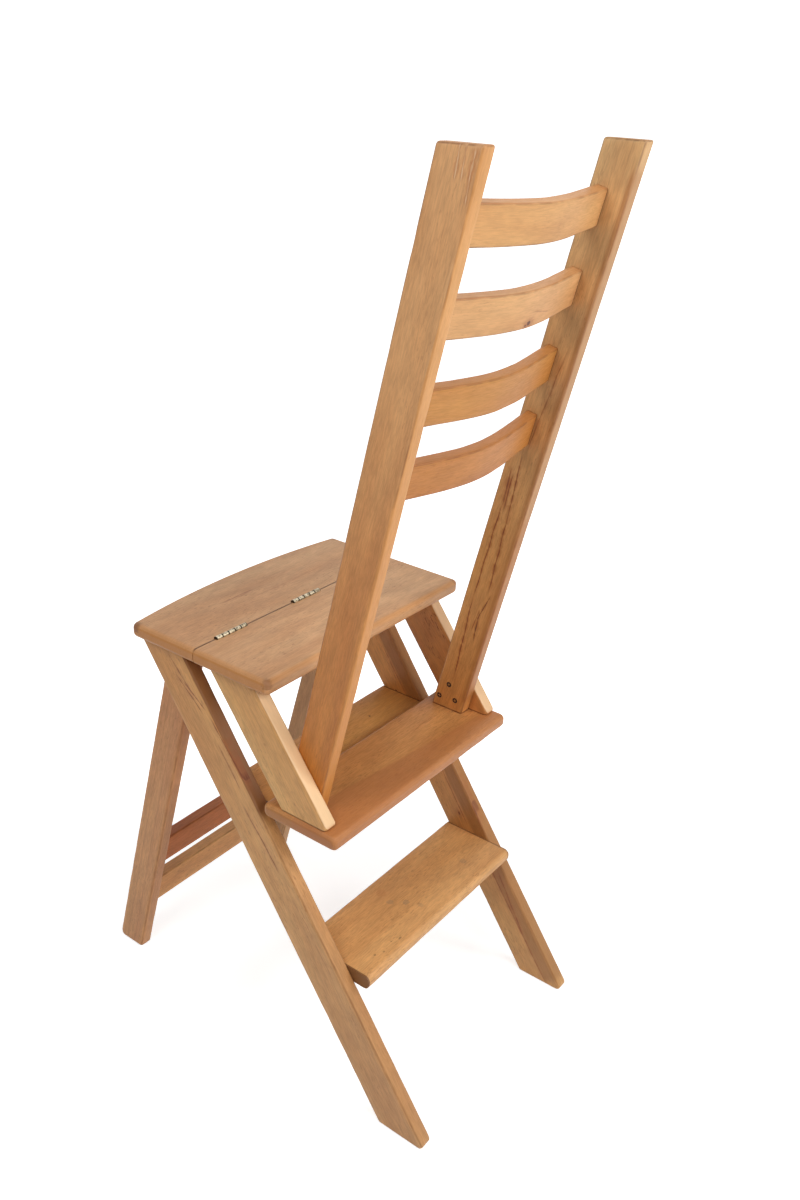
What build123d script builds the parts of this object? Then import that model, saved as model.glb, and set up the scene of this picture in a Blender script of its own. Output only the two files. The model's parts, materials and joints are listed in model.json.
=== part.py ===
from build123d import *
from dataclasses import dataclass
from math import atan2, cos, degrees, hypot, sin
import os

# A wooden library step chair. The rear half of the seat carries the back and turns over the front
# half on butt hinges, and the chair becomes a four-tread step ladder.
# X runs across the seat, +X to the sitter's left. The front is -Y and the floor is z = 0.
# The pieces are drawn with the hinge line above the X axis, and at the end the whole chair moves
# along Y so that its origin lies under its middle. All lengths are in millimetres.

# Seat boards
seat_height = 600.0
board_thickness = 20.0
seat_half_width = 200.5
front_corner_depth = 112.0
front_middle_depth = 129.0
rear_board_depth = 124.0
seam_gap = 1.0
seat_corner_radius = 8.0
front_board_easing = 7.0
rear_board_easing = 6.5

# Legs and side pieces, with every slanted piece given by its front edge at its top and its foot
seat_side_overhang = 11.5
stock_thickness = 20.0
wide_stock = 62.0
rear_leg_top_y = -110.0
rear_leg_foot_y = 310.0
front_stock = 47.0
front_leg_top_y = -74.0
front_leg_foot_y = -223.0
side_top_y = 11.0
side_foot_inset = 26.0
edge_easing = 3.5
foot_heel_radius = 3.0
foot_tip_radius = 6.0
front_foot_radius = 9.0

# Treads between the rear legs, and the tread that hangs from the side pieces
lower_tread_height = 210.0
middle_tread_height = 400.0
tread_depth = 112.0
tread_front_easing = 2.5
tread_nose_radius = 8.0
flip_tread_side_overhang = 4.0
flip_tread_rest = 23.3
flip_tread_depth = 118.0
flip_tread_corner_radius = 6.0
flip_tread_easing = 6.5

# Rungs between the front legs and the rail under the seat
rung_height = 38.0
rung_thickness = 20.0
rung_easing = 2.0
lower_rung_top = 120.0
upper_rung_top = 205.0
rail_height = 35.0
rail_thickness = 20.0
rail_y = -55.0

# Back stiles and the four bowed slats
stile_stock = 51.0
stile_foot_inset = 17.0
stile_top_y = 297.5
stile_easing = 2.5
slat_top_shares = (0.5900, 0.6990, 0.8179, 0.9337)
slat_height = 43.0
slat_thickness = 16.0
slat_bow = 20.7
slat_end_rise = 7.6
slat_handle_share = 1 / 3
slat_setback = 8.8
slat_easing = 2.0

# Hinges
hinge_places = (134.0, -10.0, -150.0)
hinge_length = 54.0
hinge_axis_rise = 0.15
barrel_radius = 3.1
pin_radius = 1.25
pin_clearance = 0.05
knuckle_count = 5
knuckle_gap = 0.3
leaf_thickness = 1.5
leaf_depth = 16.0
leaf_gap = 0.3
leaf_screw_pitch = 18.0
leaf_screw_drop = 9.5
barrel_clearance = 0.4
mortise_clearance = 0.1
pin_dome_radius = 0.5

# Dowels
dowel_radius = 4.0
dowel_length = 30.0
dowel_blind_depth = 12.0
slat_dowel_radius = 3.0
slat_dowel_length = 24.0
joint_clearance = 0.1

# Places of the dowels and screws
seat_dowel_inset = 24.0
side_foot_dowel_inset = 22.0
dowel_pitch = 30.0
tread_dowel_inset = 30.0
tread_dowel_pitch = 44.0
slat_dowel_pitch = 26.0
lap_screw_places = ((29.0, 46.0), (38.0, 66.0))
rail_dowel_rise = 10.0
rail_screw_pitch = 110.0
stile_screw_places = ((9.0, 17.0), (36.0, 18.0), (19.0, 40.0))
recess_width = 0.9
overrun = 5.0
same_place = 0.01
place_decimals = 1


@dataclass(frozen=True)
class ScrewSize:
    """A countersunk wood screw: head, shank and length."""

    head_radius: float
    head_depth: float
    shank_radius: float
    length: float
    tip_length: float


stile_screw = ScrewSize(head_radius=4.0, head_depth=2.4, shank_radius=2.0, length=35.0, tip_length=5.0)
lap_screw = ScrewSize(head_radius=4.2, head_depth=2.6, shank_radius=2.2, length=34.0, tip_length=5.0)
rail_screw = ScrewSize(head_radius=4.2, head_depth=2.6, shank_radius=2.2, length=48.0, tip_length=5.0)
leaf_screw = ScrewSize(head_radius=2.5, head_depth=1.3, shank_radius=1.3, length=16.0, tip_length=3.0)

# Heights, faces and lines that several pieces share
seat_underside = seat_height - board_thickness
hinge_height = seat_height + hinge_axis_rise
frame_half_width = seat_half_width - seat_side_overhang
leg_inner_x = frame_half_width - stock_thickness
lap_inner_x = leg_inner_x - stock_thickness
flip_tread_half_width = frame_half_width + flip_tread_side_overhang
flip_tread_underside = middle_tread_height
flip_tread_top = flip_tread_underside + board_thickness
stile_top = hinge_height + hinge_height
stile_rise = stile_top - flip_tread_top
slat_top_heights = [flip_tread_top + share * stile_rise for share in slat_top_shares]
seam_y = seam_gap / 2
knuckle_pitch = (hinge_length + knuckle_gap) / knuckle_count
knuckle_length = knuckle_pitch - knuckle_gap
groove_radius = barrel_radius + barrel_clearance


def level_width(stock, run, rise):
    """Width of a slanted piece along a level cut."""
    return stock * hypot(run, rise) / rise


def edge_at(top_y, top_z, foot_y, foot_z, height):
    """Y of a slanted front edge at a height."""
    return top_y + (foot_y - top_y) * (top_z - height) / (top_z - foot_z)


def rear_leg_edge(height):
    """Y of a rear leg's front edge at a height."""
    return edge_at(rear_leg_top_y, seat_underside, rear_leg_foot_y, 0, height)


def front_leg_edge(height):
    """Y of a front leg's front edge at a height."""
    return edge_at(front_leg_top_y, seat_underside, front_leg_foot_y, 0, height)


def front_leg_middle(height):
    """Y of a front leg's centre line at a height."""
    width = level_width(front_stock, front_leg_foot_y - front_leg_top_y, seat_underside)
    return front_leg_edge(height) + width / 2


# The flip tread's front rests on the rear of the middle tread, and carries the side pieces and stiles
flip_tread_front_y = rear_leg_edge(middle_tread_height) + tread_depth - flip_tread_rest
side_foot_y = flip_tread_front_y + side_foot_inset
stile_foot_y = flip_tread_front_y + stile_foot_inset
stile_slope = atan2(stile_top_y - stile_foot_y, stile_rise)


def stile_point(along, back, x=0.0):
    """A point of the back, measured up the stile's front edge and square to it."""
    y = stile_foot_y + along * sin(stile_slope) + back * cos(stile_slope)
    z = flip_tread_top + along * cos(stile_slope) - back * sin(stile_slope)
    return Vector(x, y, z)


def lies_at(edge, axis, place):
    """Whether an edge lies wholly in the plane across an axis at a place."""
    low = getattr(edge.bounding_box().min, axis)
    high = getattr(edge.bounding_box().max, axis)
    return abs(low - place) < same_place and abs(high - place) < same_place


def lies_flat(edge, axis):
    """Whether an edge lies in some plane across an axis."""
    return getattr(edge.bounding_box().size, axis) < same_place


def eased(solid, radius, axis, flush=()):
    """Round the outline of both broad faces across an axis, but not the edges in flush planes."""
    outline = [e for e in solid.edges() if lies_flat(e, axis)]
    chosen = [e for e in outline if not any(lies_at(e, name, place) for name, place in flush)]
    return fillet(ShapeList(chosen), radius)


def slanted_piece(top_y, top_z, foot_y, foot_z, stock, x_inner, foot_radii):
    """A slanted board with level ends, its foot corners rounded, between x_inner and its outer face."""
    width = level_width(stock, foot_y - top_y, top_z - foot_z)
    corners = ((top_y, top_z), (top_y + width, top_z), (foot_y + width, foot_z), (foot_y, foot_z))
    face = Polygon(*corners, align=None)
    heel, tip = face.vertices().sort_by(Axis.Y)[:2].sort_by(Axis.X)
    front_radius, rear_radius = foot_radii
    if front_radius:
        face = fillet(face.vertices().sort_by_distance(heel.center())[0], front_radius)
        face = fillet(face.vertices().sort_by_distance(tip.center())[0], rear_radius)
    return Pos(x_inner, 0, 0) * extrude(Plane.YZ * face, stock_thickness, dir=(1, 0, 0))


def peg(radius, length, start, direction):
    """A round bar from a start point along a direction."""
    centred_at_end = (Align.CENTER, Align.CENTER, Align.MIN)
    return Plane(origin=start, z_dir=direction) * Cylinder(radius, length, align=centred_at_end)


def both_sides(shapes):
    """The shapes and their mirror images across the seat."""
    return list(shapes) + [mirror(shape, about=Plane.YZ) for shape in shapes]


def mirrored(shape):
    """The same piece for the other side of the chair."""
    return mirror(shape, about=Plane.YZ)


def group(solids):
    """Separate like solids that share one node."""
    return Compound(children=list(solids))


def cut(piece, tools):
    """Remove every tool from a piece."""
    for tool in tools:
        piece = piece - tool
    return piece


def screw_profile(size, clearance=0.0):
    """Half section of a screw, its head's face at z = 0 and its point below."""
    head = size.head_radius + clearance
    shank = size.shank_radius + clearance
    neck = size.head_depth
    tip = size.length - size.tip_length
    points = ((0, 0), (head, 0), (shank, -neck), (shank, -tip), (0, -size.length))
    return Plane.XZ * Polygon(*points, align=None)


def screw(size, face_point, outward):
    """A screw with a cross recess, its head flush with a face."""
    body = revolve(screw_profile(size), Axis.Z)
    slot = Box(size.head_radius + recess_width, recess_width, size.head_depth)
    body = body - slot - Rot(0, 0, 90) * slot
    return Plane(origin=face_point, z_dir=outward) * body


def screw_hole(size, face_point, outward):
    """The countersunk hole that a screw sits in, open past the face."""
    body = revolve(screw_profile(size, joint_clearance), Axis.Z)
    mouth = peg(size.head_radius + joint_clearance, overrun, (0, 0, 0), (0, 0, 1))
    return Plane(origin=face_point, z_dir=outward) * (body + mouth)


def dowel(face_x, y, z, clearance=0.0):
    """A level dowel that reaches its blind depth outward past a face on the +X side."""
    start = (face_x + dowel_blind_depth, y, z)
    return peg(dowel_radius + clearance, dowel_length, start, (-1, 0, 0))


def upright_dowel(x, y, face_z, up, clearance=0.0):
    """A dowel that reaches its blind depth into a board past a level face."""
    start = (x, y, face_z + up * dowel_blind_depth)
    return peg(dowel_radius + clearance, dowel_length, start, (0, 0, -up))


def tread_dowels(height, clearance=0.0):
    """Two dowels in each end of a tread between the rear legs."""
    first = rear_leg_edge(height) + tread_dowel_inset
    middle = height - board_thickness / 2
    places = (first, first + tread_dowel_pitch)
    return both_sides([dowel(leg_inner_x, y, middle, clearance) for y in places])


def cross_dowels(y, middle_z, clearance=0.0):
    """One dowel in each end of a cross piece between the front legs."""
    return both_sides([dowel(lap_inner_x, y, middle_z, clearance)])


def rung_middles():
    """Heights of the two rungs' centre lines."""
    return [top - rung_height / 2 for top in (lower_rung_top, upper_rung_top)]


def all_cross_dowels(clearance=0.0):
    """Dowels of both rungs and the seat rail."""
    rungs = [cross_dowels(front_leg_middle(z), z, clearance) for z in rung_middles()]
    rail = cross_dowels(rail_y, seat_underside - rail_height + rail_dowel_rise, clearance)
    return rungs[0] + rungs[1] + rail


def base_seat_dowels(clearance=0.0):
    """Upright dowels from the leg tops into the front seat board."""
    leg_x = frame_half_width - stock_thickness / 2
    lap_x = leg_inner_x - stock_thickness / 2
    first = rear_leg_top_y + seat_dowel_inset
    pegs = [upright_dowel(leg_x, y, seat_underside, 1, clearance) for y in (first, first + dowel_pitch)]
    pegs.append(upright_dowel(lap_x, front_leg_middle(seat_underside), seat_underside, 1, clearance))
    return both_sides(pegs)


def side_piece_dowels(clearance=0.0):
    """Upright dowels at both ends of the side pieces."""
    x = frame_half_width - stock_thickness / 2
    top = side_top_y + seat_dowel_inset
    foot = side_foot_y + side_foot_dowel_inset
    pegs = [upright_dowel(x, y, seat_underside, 1, clearance) for y in (top, top + dowel_pitch)]
    pegs += [upright_dowel(x, y, flip_tread_top, -1, clearance) for y in (foot, foot + dowel_pitch)]
    return both_sides(pegs)


def slat_base(top_height):
    """Distance up the stile from its foot to the underside of a slat."""
    reach = slat_setback + slat_thickness
    along_top = (top_height - flip_tread_top + reach * sin(stile_slope)) / cos(stile_slope)
    return along_top - slat_height


def slat_dowels(clearance=0.0):
    """Two dowels in each end of every slat."""
    pegs = []
    for top_height in slat_top_heights:
        middle = slat_base(top_height) + slat_height / 2
        for offset in (-slat_dowel_pitch / 2, slat_dowel_pitch / 2):
            reach = lap_inner_x + slat_dowel_length / 2
            start = stile_point(middle + offset, slat_setback + slat_thickness / 2, reach)
            pegs.append(peg(slat_dowel_radius + clearance, slat_dowel_length, start, (-1, 0, 0)))
    return both_sides(pegs)


def lap_screws(make):
    """Screws that hold each front leg against its rear leg."""
    places = []
    for inset, drop in lap_screw_places:
        height = seat_underside - drop
        places.append((lap_inner_x, front_leg_edge(height) + inset, height))
    return both_sides([make(lap_screw, place, (-1, 0, 0)) for place in places])


def rail_screws(make):
    """Screws up through the seat rail into the front seat board."""
    under = seat_underside - rail_height
    places = [(x, rail_y, under) for x in (-rail_screw_pitch, 0, rail_screw_pitch)]
    return [make(rail_screw, place, (0, 0, -1)) for place in places]


def stile_screws(make):
    """Three screws in a triangle at the foot of each stile."""
    places = []
    for back, up in stile_screw_places:
        y = edge_at(stile_top_y, stile_top, stile_foot_y, flip_tread_top, flip_tread_top + up)
        places.append((lap_inner_x, y + back, flip_tread_top + up))
    return both_sides([make(stile_screw, place, (-1, 0, 0)) for place in places])


def leaf_screws(side, make):
    """Screws of the leaves on one side of the seam, side -1 in front and 1 behind."""
    places = []
    for centre in hinge_places:
        for offset in (-leaf_screw_pitch, 0, leaf_screw_pitch):
            places.append((centre + offset, side * leaf_gap / 2, hinge_height - leaf_screw_drop))
    return [make(leaf_screw, place, (0, -side, 0)) for place in places]


def along_x(radius, length, centre_x):
    """A round bar on the hinge line."""
    start = (centre_x - length / 2, 0, hinge_height)
    return peg(radius, length, start, (1, 0, 0))


def knuckle_centre(centre_x, index):
    """X of a knuckle's middle."""
    return centre_x + (index - (knuckle_count - 1) / 2) * knuckle_pitch


def hinge_leaf(centre_x, side):
    """One leaf with its knuckles, side -1 on the front board and 1 on the rear board."""
    own = [i for i in range(knuckle_count) if (i % 2 == 0) == (side < 0)]
    other = [i for i in range(knuckle_count) if i not in own]
    plate_y = side * (leaf_gap + leaf_thickness) / 2
    plate = Pos(centre_x, plate_y, hinge_height - leaf_depth / 2) * Box(hinge_length, leaf_thickness, leaf_depth)
    room = knuckle_length + knuckle_gap + knuckle_gap
    plate = cut(plate, [along_x(groove_radius, room, knuckle_centre(centre_x, i)) for i in other])
    for index in own:
        plate = plate + along_x(barrel_radius, knuckle_length, knuckle_centre(centre_x, index))
    bore = along_x(pin_radius + pin_clearance, hinge_length + overrun, centre_x)
    holes = leaf_screws(side, screw_hole)
    return cut(plate - bore, [hole for hole in holes if abs(hole.center().X - centre_x) < hinge_length])


def hinge_pin(centre_x):
    """The pin, with domed ends flush with the outer knuckles."""
    pin = along_x(pin_radius, hinge_length, centre_x)
    return fillet(pin.edges().filter_by(GeomType.CIRCLE), pin_dome_radius)


def hinge_mortises(side):
    """Recesses for the leaves and barrels in one board's edge."""
    tools = []
    for centre_x in hinge_places:
        tools.append(along_x(groove_radius, hinge_length + barrel_clearance * 2, centre_x))
        length = hinge_length + mortise_clearance * 2
        depth = leaf_gap / 2 + leaf_thickness
        height = leaf_depth + mortise_clearance
        tools.append(Pos(centre_x, side * depth / 2, hinge_height - height / 2) * Box(length, depth, height))
    return tools


def front_seat_board():
    """The fixed half of the seat, with a bowed front edge."""
    w = seat_half_width
    rim = [
        Line((-w, -seam_y), (-w, -front_corner_depth)),
        ThreePointArc((-w, -front_corner_depth), (0, -front_middle_depth), (w, -front_corner_depth)),
        Line((w, -front_corner_depth), (w, -seam_y)),
        Line((w, -seam_y), (-w, -seam_y)),
    ]
    plan = make_face(rim)
    plan = fillet(plan.vertices().sort_by(Axis.Y)[:2], seat_corner_radius)
    board = Pos(0, 0, seat_underside) * extrude(plan, board_thickness)
    board = eased(board, front_board_easing, "Z", [("Y", -seam_y)])
    board = cut(board, base_seat_dowels(joint_clearance) + rail_screws(screw_hole))
    return cut(board, hinge_mortises(-1) + leaf_screws(-1, screw_hole))


def rear_seat_board():
    """The turning half of the seat, a plain rectangle in plan."""
    plan = Pos(0, seam_y) * Rectangle(
        seat_half_width * 2, rear_board_depth - seam_y, align=(Align.CENTER, Align.MIN)
    )
    plan = fillet(plan.vertices().sort_by(Axis.Y)[2:], seat_corner_radius)
    board = Pos(0, 0, seat_underside) * extrude(plan, board_thickness)
    board = eased(board, rear_board_easing, "Z", [("Y", seam_y)])
    board = cut(board, side_piece_dowels(joint_clearance))
    return cut(board, hinge_mortises(1) + leaf_screws(1, screw_hole))


def rear_leg():
    """The long diagonal leg of the +X side."""
    radii = (foot_heel_radius, foot_tip_radius)
    leg = slanted_piece(
        rear_leg_top_y, seat_underside, rear_leg_foot_y, 0, wide_stock, leg_inner_x, radii
    )
    leg = eased(leg, edge_easing, "X", [("Z", seat_underside)])
    for height in (lower_tread_height, middle_tread_height):
        leg = cut(leg, tread_dowels(height, joint_clearance))
    return cut(leg, base_seat_dowels(joint_clearance) + lap_screws(screw_hole))


def front_leg():
    """The front leg of the +X side, lapped on the rear leg's inner face."""
    radii = (front_foot_radius, foot_heel_radius)
    leg = slanted_piece(
        front_leg_top_y, seat_underside, front_leg_foot_y, 0, front_stock, lap_inner_x, radii
    )
    leg = eased(leg, edge_easing, "X", [("Z", seat_underside)])
    leg = cut(leg, all_cross_dowels(joint_clearance) + lap_screws(screw_hole))
    return cut(leg, base_seat_dowels(joint_clearance))


def tread(height):
    """A tread between the rear legs, its front edge flush with theirs and its rear edge a nose."""
    front = rear_leg_edge(height)
    corner = (Align.CENTER, Align.MIN, Align.MAX)
    board = Pos(0, front, height) * Box(leg_inner_x * 2, tread_depth, board_thickness, align=corner)
    long_edges = board.edges().filter_by(Axis.X).sort_by(Axis.Y)
    board = fillet(long_edges[:2], tread_front_easing)
    long_edges = board.edges().filter_by(Axis.X).sort_by(Axis.Y)
    board = fillet(long_edges[-2:], tread_nose_radius)
    return cut(board, tread_dowels(height, joint_clearance))


def cross_piece(y, top, height, thickness):
    """A level bar between the front legs' inner faces."""
    corner = (Align.CENTER, Align.CENTER, Align.MAX)
    bar = Pos(0, y, top) * Box(lap_inner_x * 2, thickness, height, align=corner)
    bar = fillet(bar.edges().filter_by(Axis.X), rung_easing)
    return cut(bar, all_cross_dowels(joint_clearance))


def rung(top):
    """A rung on the centre line of the front legs."""
    return cross_piece(front_leg_middle(top - rung_height / 2), top, rung_height, rung_thickness)


def seat_rail():
    """The rail under the front seat board."""
    rail = cross_piece(rail_y, seat_underside, rail_height, rail_thickness)
    return cut(rail, rail_screws(screw_hole))


def side_piece():
    """The slanted piece of the +X side that carries the flip tread."""
    piece = slanted_piece(
        side_top_y, seat_underside, side_foot_y, flip_tread_top, wide_stock, leg_inner_x, (0, 0)
    )
    piece = eased(piece, edge_easing, "X", [("Z", seat_underside), ("Z", flip_tread_top)])
    return cut(piece, side_piece_dowels(joint_clearance) + stile_screws(screw_hole))


def flip_tread():
    """The wide board under the side pieces, which turns over to be the highest tread."""
    plan = Pos(0, flip_tread_front_y) * Rectangle(
        flip_tread_half_width * 2, flip_tread_depth, align=(Align.CENTER, Align.MIN)
    )
    plan = fillet(plan.vertices(), flip_tread_corner_radius)
    board = Pos(0, 0, flip_tread_underside) * extrude(plan, board_thickness)
    board = eased(board, flip_tread_easing, "Z")
    return cut(board, side_piece_dowels(joint_clearance))


def stile():
    """The back stile of the +X side, against the side piece's inner face."""
    piece = slanted_piece(
        stile_top_y, stile_top, stile_foot_y, flip_tread_top, stile_stock, lap_inner_x, (0, 0)
    )
    piece = eased(piece, stile_easing, "X", [("Z", flip_tread_top)])
    return cut(piece, slat_dowels(joint_clearance) + stile_screws(screw_hole))


def bow_line(back):
    """A slat's bow between the stiles, nearly straight at its ends, moved to the rear by a distance."""
    half = lap_inner_x
    handle = half * slat_handle_share
    middle = back + slat_bow
    near_end = back + slat_end_rise
    return [
        Bezier((-half, back), (handle - half, near_end), (-handle, middle), (0, middle)),
        Bezier((0, middle), (handle, middle), (half - handle, near_end), (half, back)),
    ]


def slat(top_height):
    """A slat between the stiles, bowed to the rear and square to their slope."""
    half = lap_inner_x
    ends = [Line((x, 0), (x, slat_thickness)) for x in (-half, half)]
    bar = extrude(make_face(bow_line(0) + bow_line(slat_thickness) + ends), slat_height)
    curved = [e for e in bar.edges() if e.geom_type != GeomType.LINE]
    bar = fillet(ShapeList(curved), slat_easing)
    place = stile_point(slat_base(top_height), slat_setback)
    bar = Pos(place.X, place.Y, place.Z) * Rot(-degrees(stile_slope), 0, 0) * bar
    return cut(bar, slat_dowels(joint_clearance))


def base_nodes():
    """Every piece of the standing frame."""
    left_rear_leg = rear_leg()
    left_front_leg = front_leg()
    return {
        "front_seat_board": front_seat_board(),
        "rear_leg_left": left_rear_leg,
        "rear_leg_right": mirrored(left_rear_leg),
        "front_leg_left": left_front_leg,
        "front_leg_right": mirrored(left_front_leg),
        "lower_tread": tread(lower_tread_height),
        "middle_tread": tread(middle_tread_height),
        "lower_rung": rung(lower_rung_top),
        "upper_rung": rung(upper_rung_top),
        "seat_rail": seat_rail(),
        "tread_dowels": group(tread_dowels(lower_tread_height) + tread_dowels(middle_tread_height)),
        "cross_dowels": group(all_cross_dowels()),
        "leg_top_dowels": group(base_seat_dowels()),
        "lap_screws": group(lap_screws(screw)),
        "rail_screws": group(rail_screws(screw)),
        "front_leaf_screws": group(leaf_screws(-1, screw)),
    }


def back_nodes():
    """Every piece that turns over with the back."""
    left_side = side_piece()
    left_stile = stile()
    nodes = {
        "rear_seat_board": rear_seat_board(),
        "side_piece_left": left_side,
        "side_piece_right": mirrored(left_side),
        "flip_tread": flip_tread(),
        "stile_left": left_stile,
        "stile_right": mirrored(left_stile),
        "side_piece_dowels": group(side_piece_dowels()),
        "slat_dowels": group(slat_dowels()),
        "stile_screws": group(stile_screws(screw)),
        "rear_leaf_screws": group(leaf_screws(1, screw)),
    }
    for number, top_height in enumerate(slat_top_heights, start=1):
        nodes[f"slat_{number}"] = slat(top_height)
    return nodes


def hinge_nodes():
    """The leaves and pins of the three hinges."""
    nodes = {}
    for name, centre_x in zip(("left", "middle", "right"), hinge_places):
        nodes[f"hinge_{name}_front_leaf"] = hinge_leaf(centre_x, -1)
        nodes[f"hinge_{name}_rear_leaf"] = hinge_leaf(centre_x, 1)
        nodes[f"hinge_{name}_pin"] = hinge_pin(centre_x)
    return nodes


def middle_y(shapes):
    """Y of the middle of the box that holds every shape."""
    boxes = [shape.bounding_box() for shape in shapes]
    return (min(box.min.Y for box in boxes) + max(box.max.Y for box in boxes)) / 2


def main():
    """Build every piece and write one STEP file for each node."""
    os.makedirs("parts", exist_ok=True)
    nodes = {**base_nodes(), **back_nodes(), **hinge_nodes()}
    to_origin = Pos(0, -round(middle_y(nodes.values()), place_decimals), 0)
    print(f"hinge line at y = {to_origin.position.Y:.4f}, z = {hinge_height:.4f}")
    for name, shape in nodes.items():
        placed = to_origin * shape
        placed.label = name
        export_step(placed, f"parts/{name}.step")


main()
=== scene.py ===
"""Looks of a wooden library step chair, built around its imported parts.

The row frame is in metres: X runs across the seat, the front is -Y, the floor is z = 0.
The back and the rear half of the seat turn over the front half on the hinge line.
"""

from __future__ import annotations

import json
import logging
import math
from dataclasses import dataclass, replace
from enum import Enum
from typing import Any, Callable, Iterable, Protocol, Sequence

import bmesh
import bpy
from mathutils import Matrix, Vector, noise


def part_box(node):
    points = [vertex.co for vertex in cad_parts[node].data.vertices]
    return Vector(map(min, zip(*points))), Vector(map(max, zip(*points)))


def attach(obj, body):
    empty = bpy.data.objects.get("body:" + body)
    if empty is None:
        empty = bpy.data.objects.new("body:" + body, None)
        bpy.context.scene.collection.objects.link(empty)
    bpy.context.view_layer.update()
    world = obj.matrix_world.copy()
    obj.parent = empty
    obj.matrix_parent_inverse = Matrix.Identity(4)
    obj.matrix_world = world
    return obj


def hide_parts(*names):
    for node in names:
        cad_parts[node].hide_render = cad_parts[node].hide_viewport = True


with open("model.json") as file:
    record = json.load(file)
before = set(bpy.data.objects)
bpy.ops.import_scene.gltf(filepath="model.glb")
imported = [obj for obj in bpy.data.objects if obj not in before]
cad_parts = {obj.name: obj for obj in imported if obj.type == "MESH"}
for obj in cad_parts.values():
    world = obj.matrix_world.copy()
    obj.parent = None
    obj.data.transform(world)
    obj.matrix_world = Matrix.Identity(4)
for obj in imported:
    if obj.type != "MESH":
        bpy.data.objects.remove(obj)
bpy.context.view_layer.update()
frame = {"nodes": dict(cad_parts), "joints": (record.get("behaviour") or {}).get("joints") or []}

log = logging.getLogger("step_chair")

Colour = tuple[float, float, float]
Place = tuple[float, float, float]
Socket = bpy.types.NodeSocket
Puts = dict[str, Socket]
Rows = Iterable[tuple[float, ...]]
HINGE = Vector(frame["joints"][0]["pos_m"])
SEAT_TOP = 0.600
SEAT_UNDER = 0.580
FLIP_TOP = 0.420
MIDDLE_TOP = 0.400
LOWER_TOP = 0.210
BOARD = 0.020
LEG_FACE = 0.169
LEG_OUTSIDE = LEG_FACE + BOARD
STILE_FACE = 0.149
STILE_OUTSIDE = STILE_FACE + BOARD


class Body(Enum):
    """The two bodies that the hinge joins."""

    BASE = "base"
    BACK = "back"


class Slot(Enum):
    """The record's material slots of the boards that are remade."""

    FRAME_WOOD = "frame_wood"
    BACK_WOOD = "back_wood"


class Sawn(Enum):
    """How a board was sawn: where the tree's heart lies, through its thickness and across its width."""

    FLAT = (0.062, 0.006)
    RIFT = (0.055, 0.060)
    QUARTER = (0.004, 0.110)


class MarkKind(Enum):
    """Marks that a board carries."""

    STREAK = "streak"
    NAIL = "nail"
    KNOT = "knot"
    STAIN = "stain"
    SCUFF = "scuff"
    BAND = "band"
    SEAM = "seam"


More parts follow.
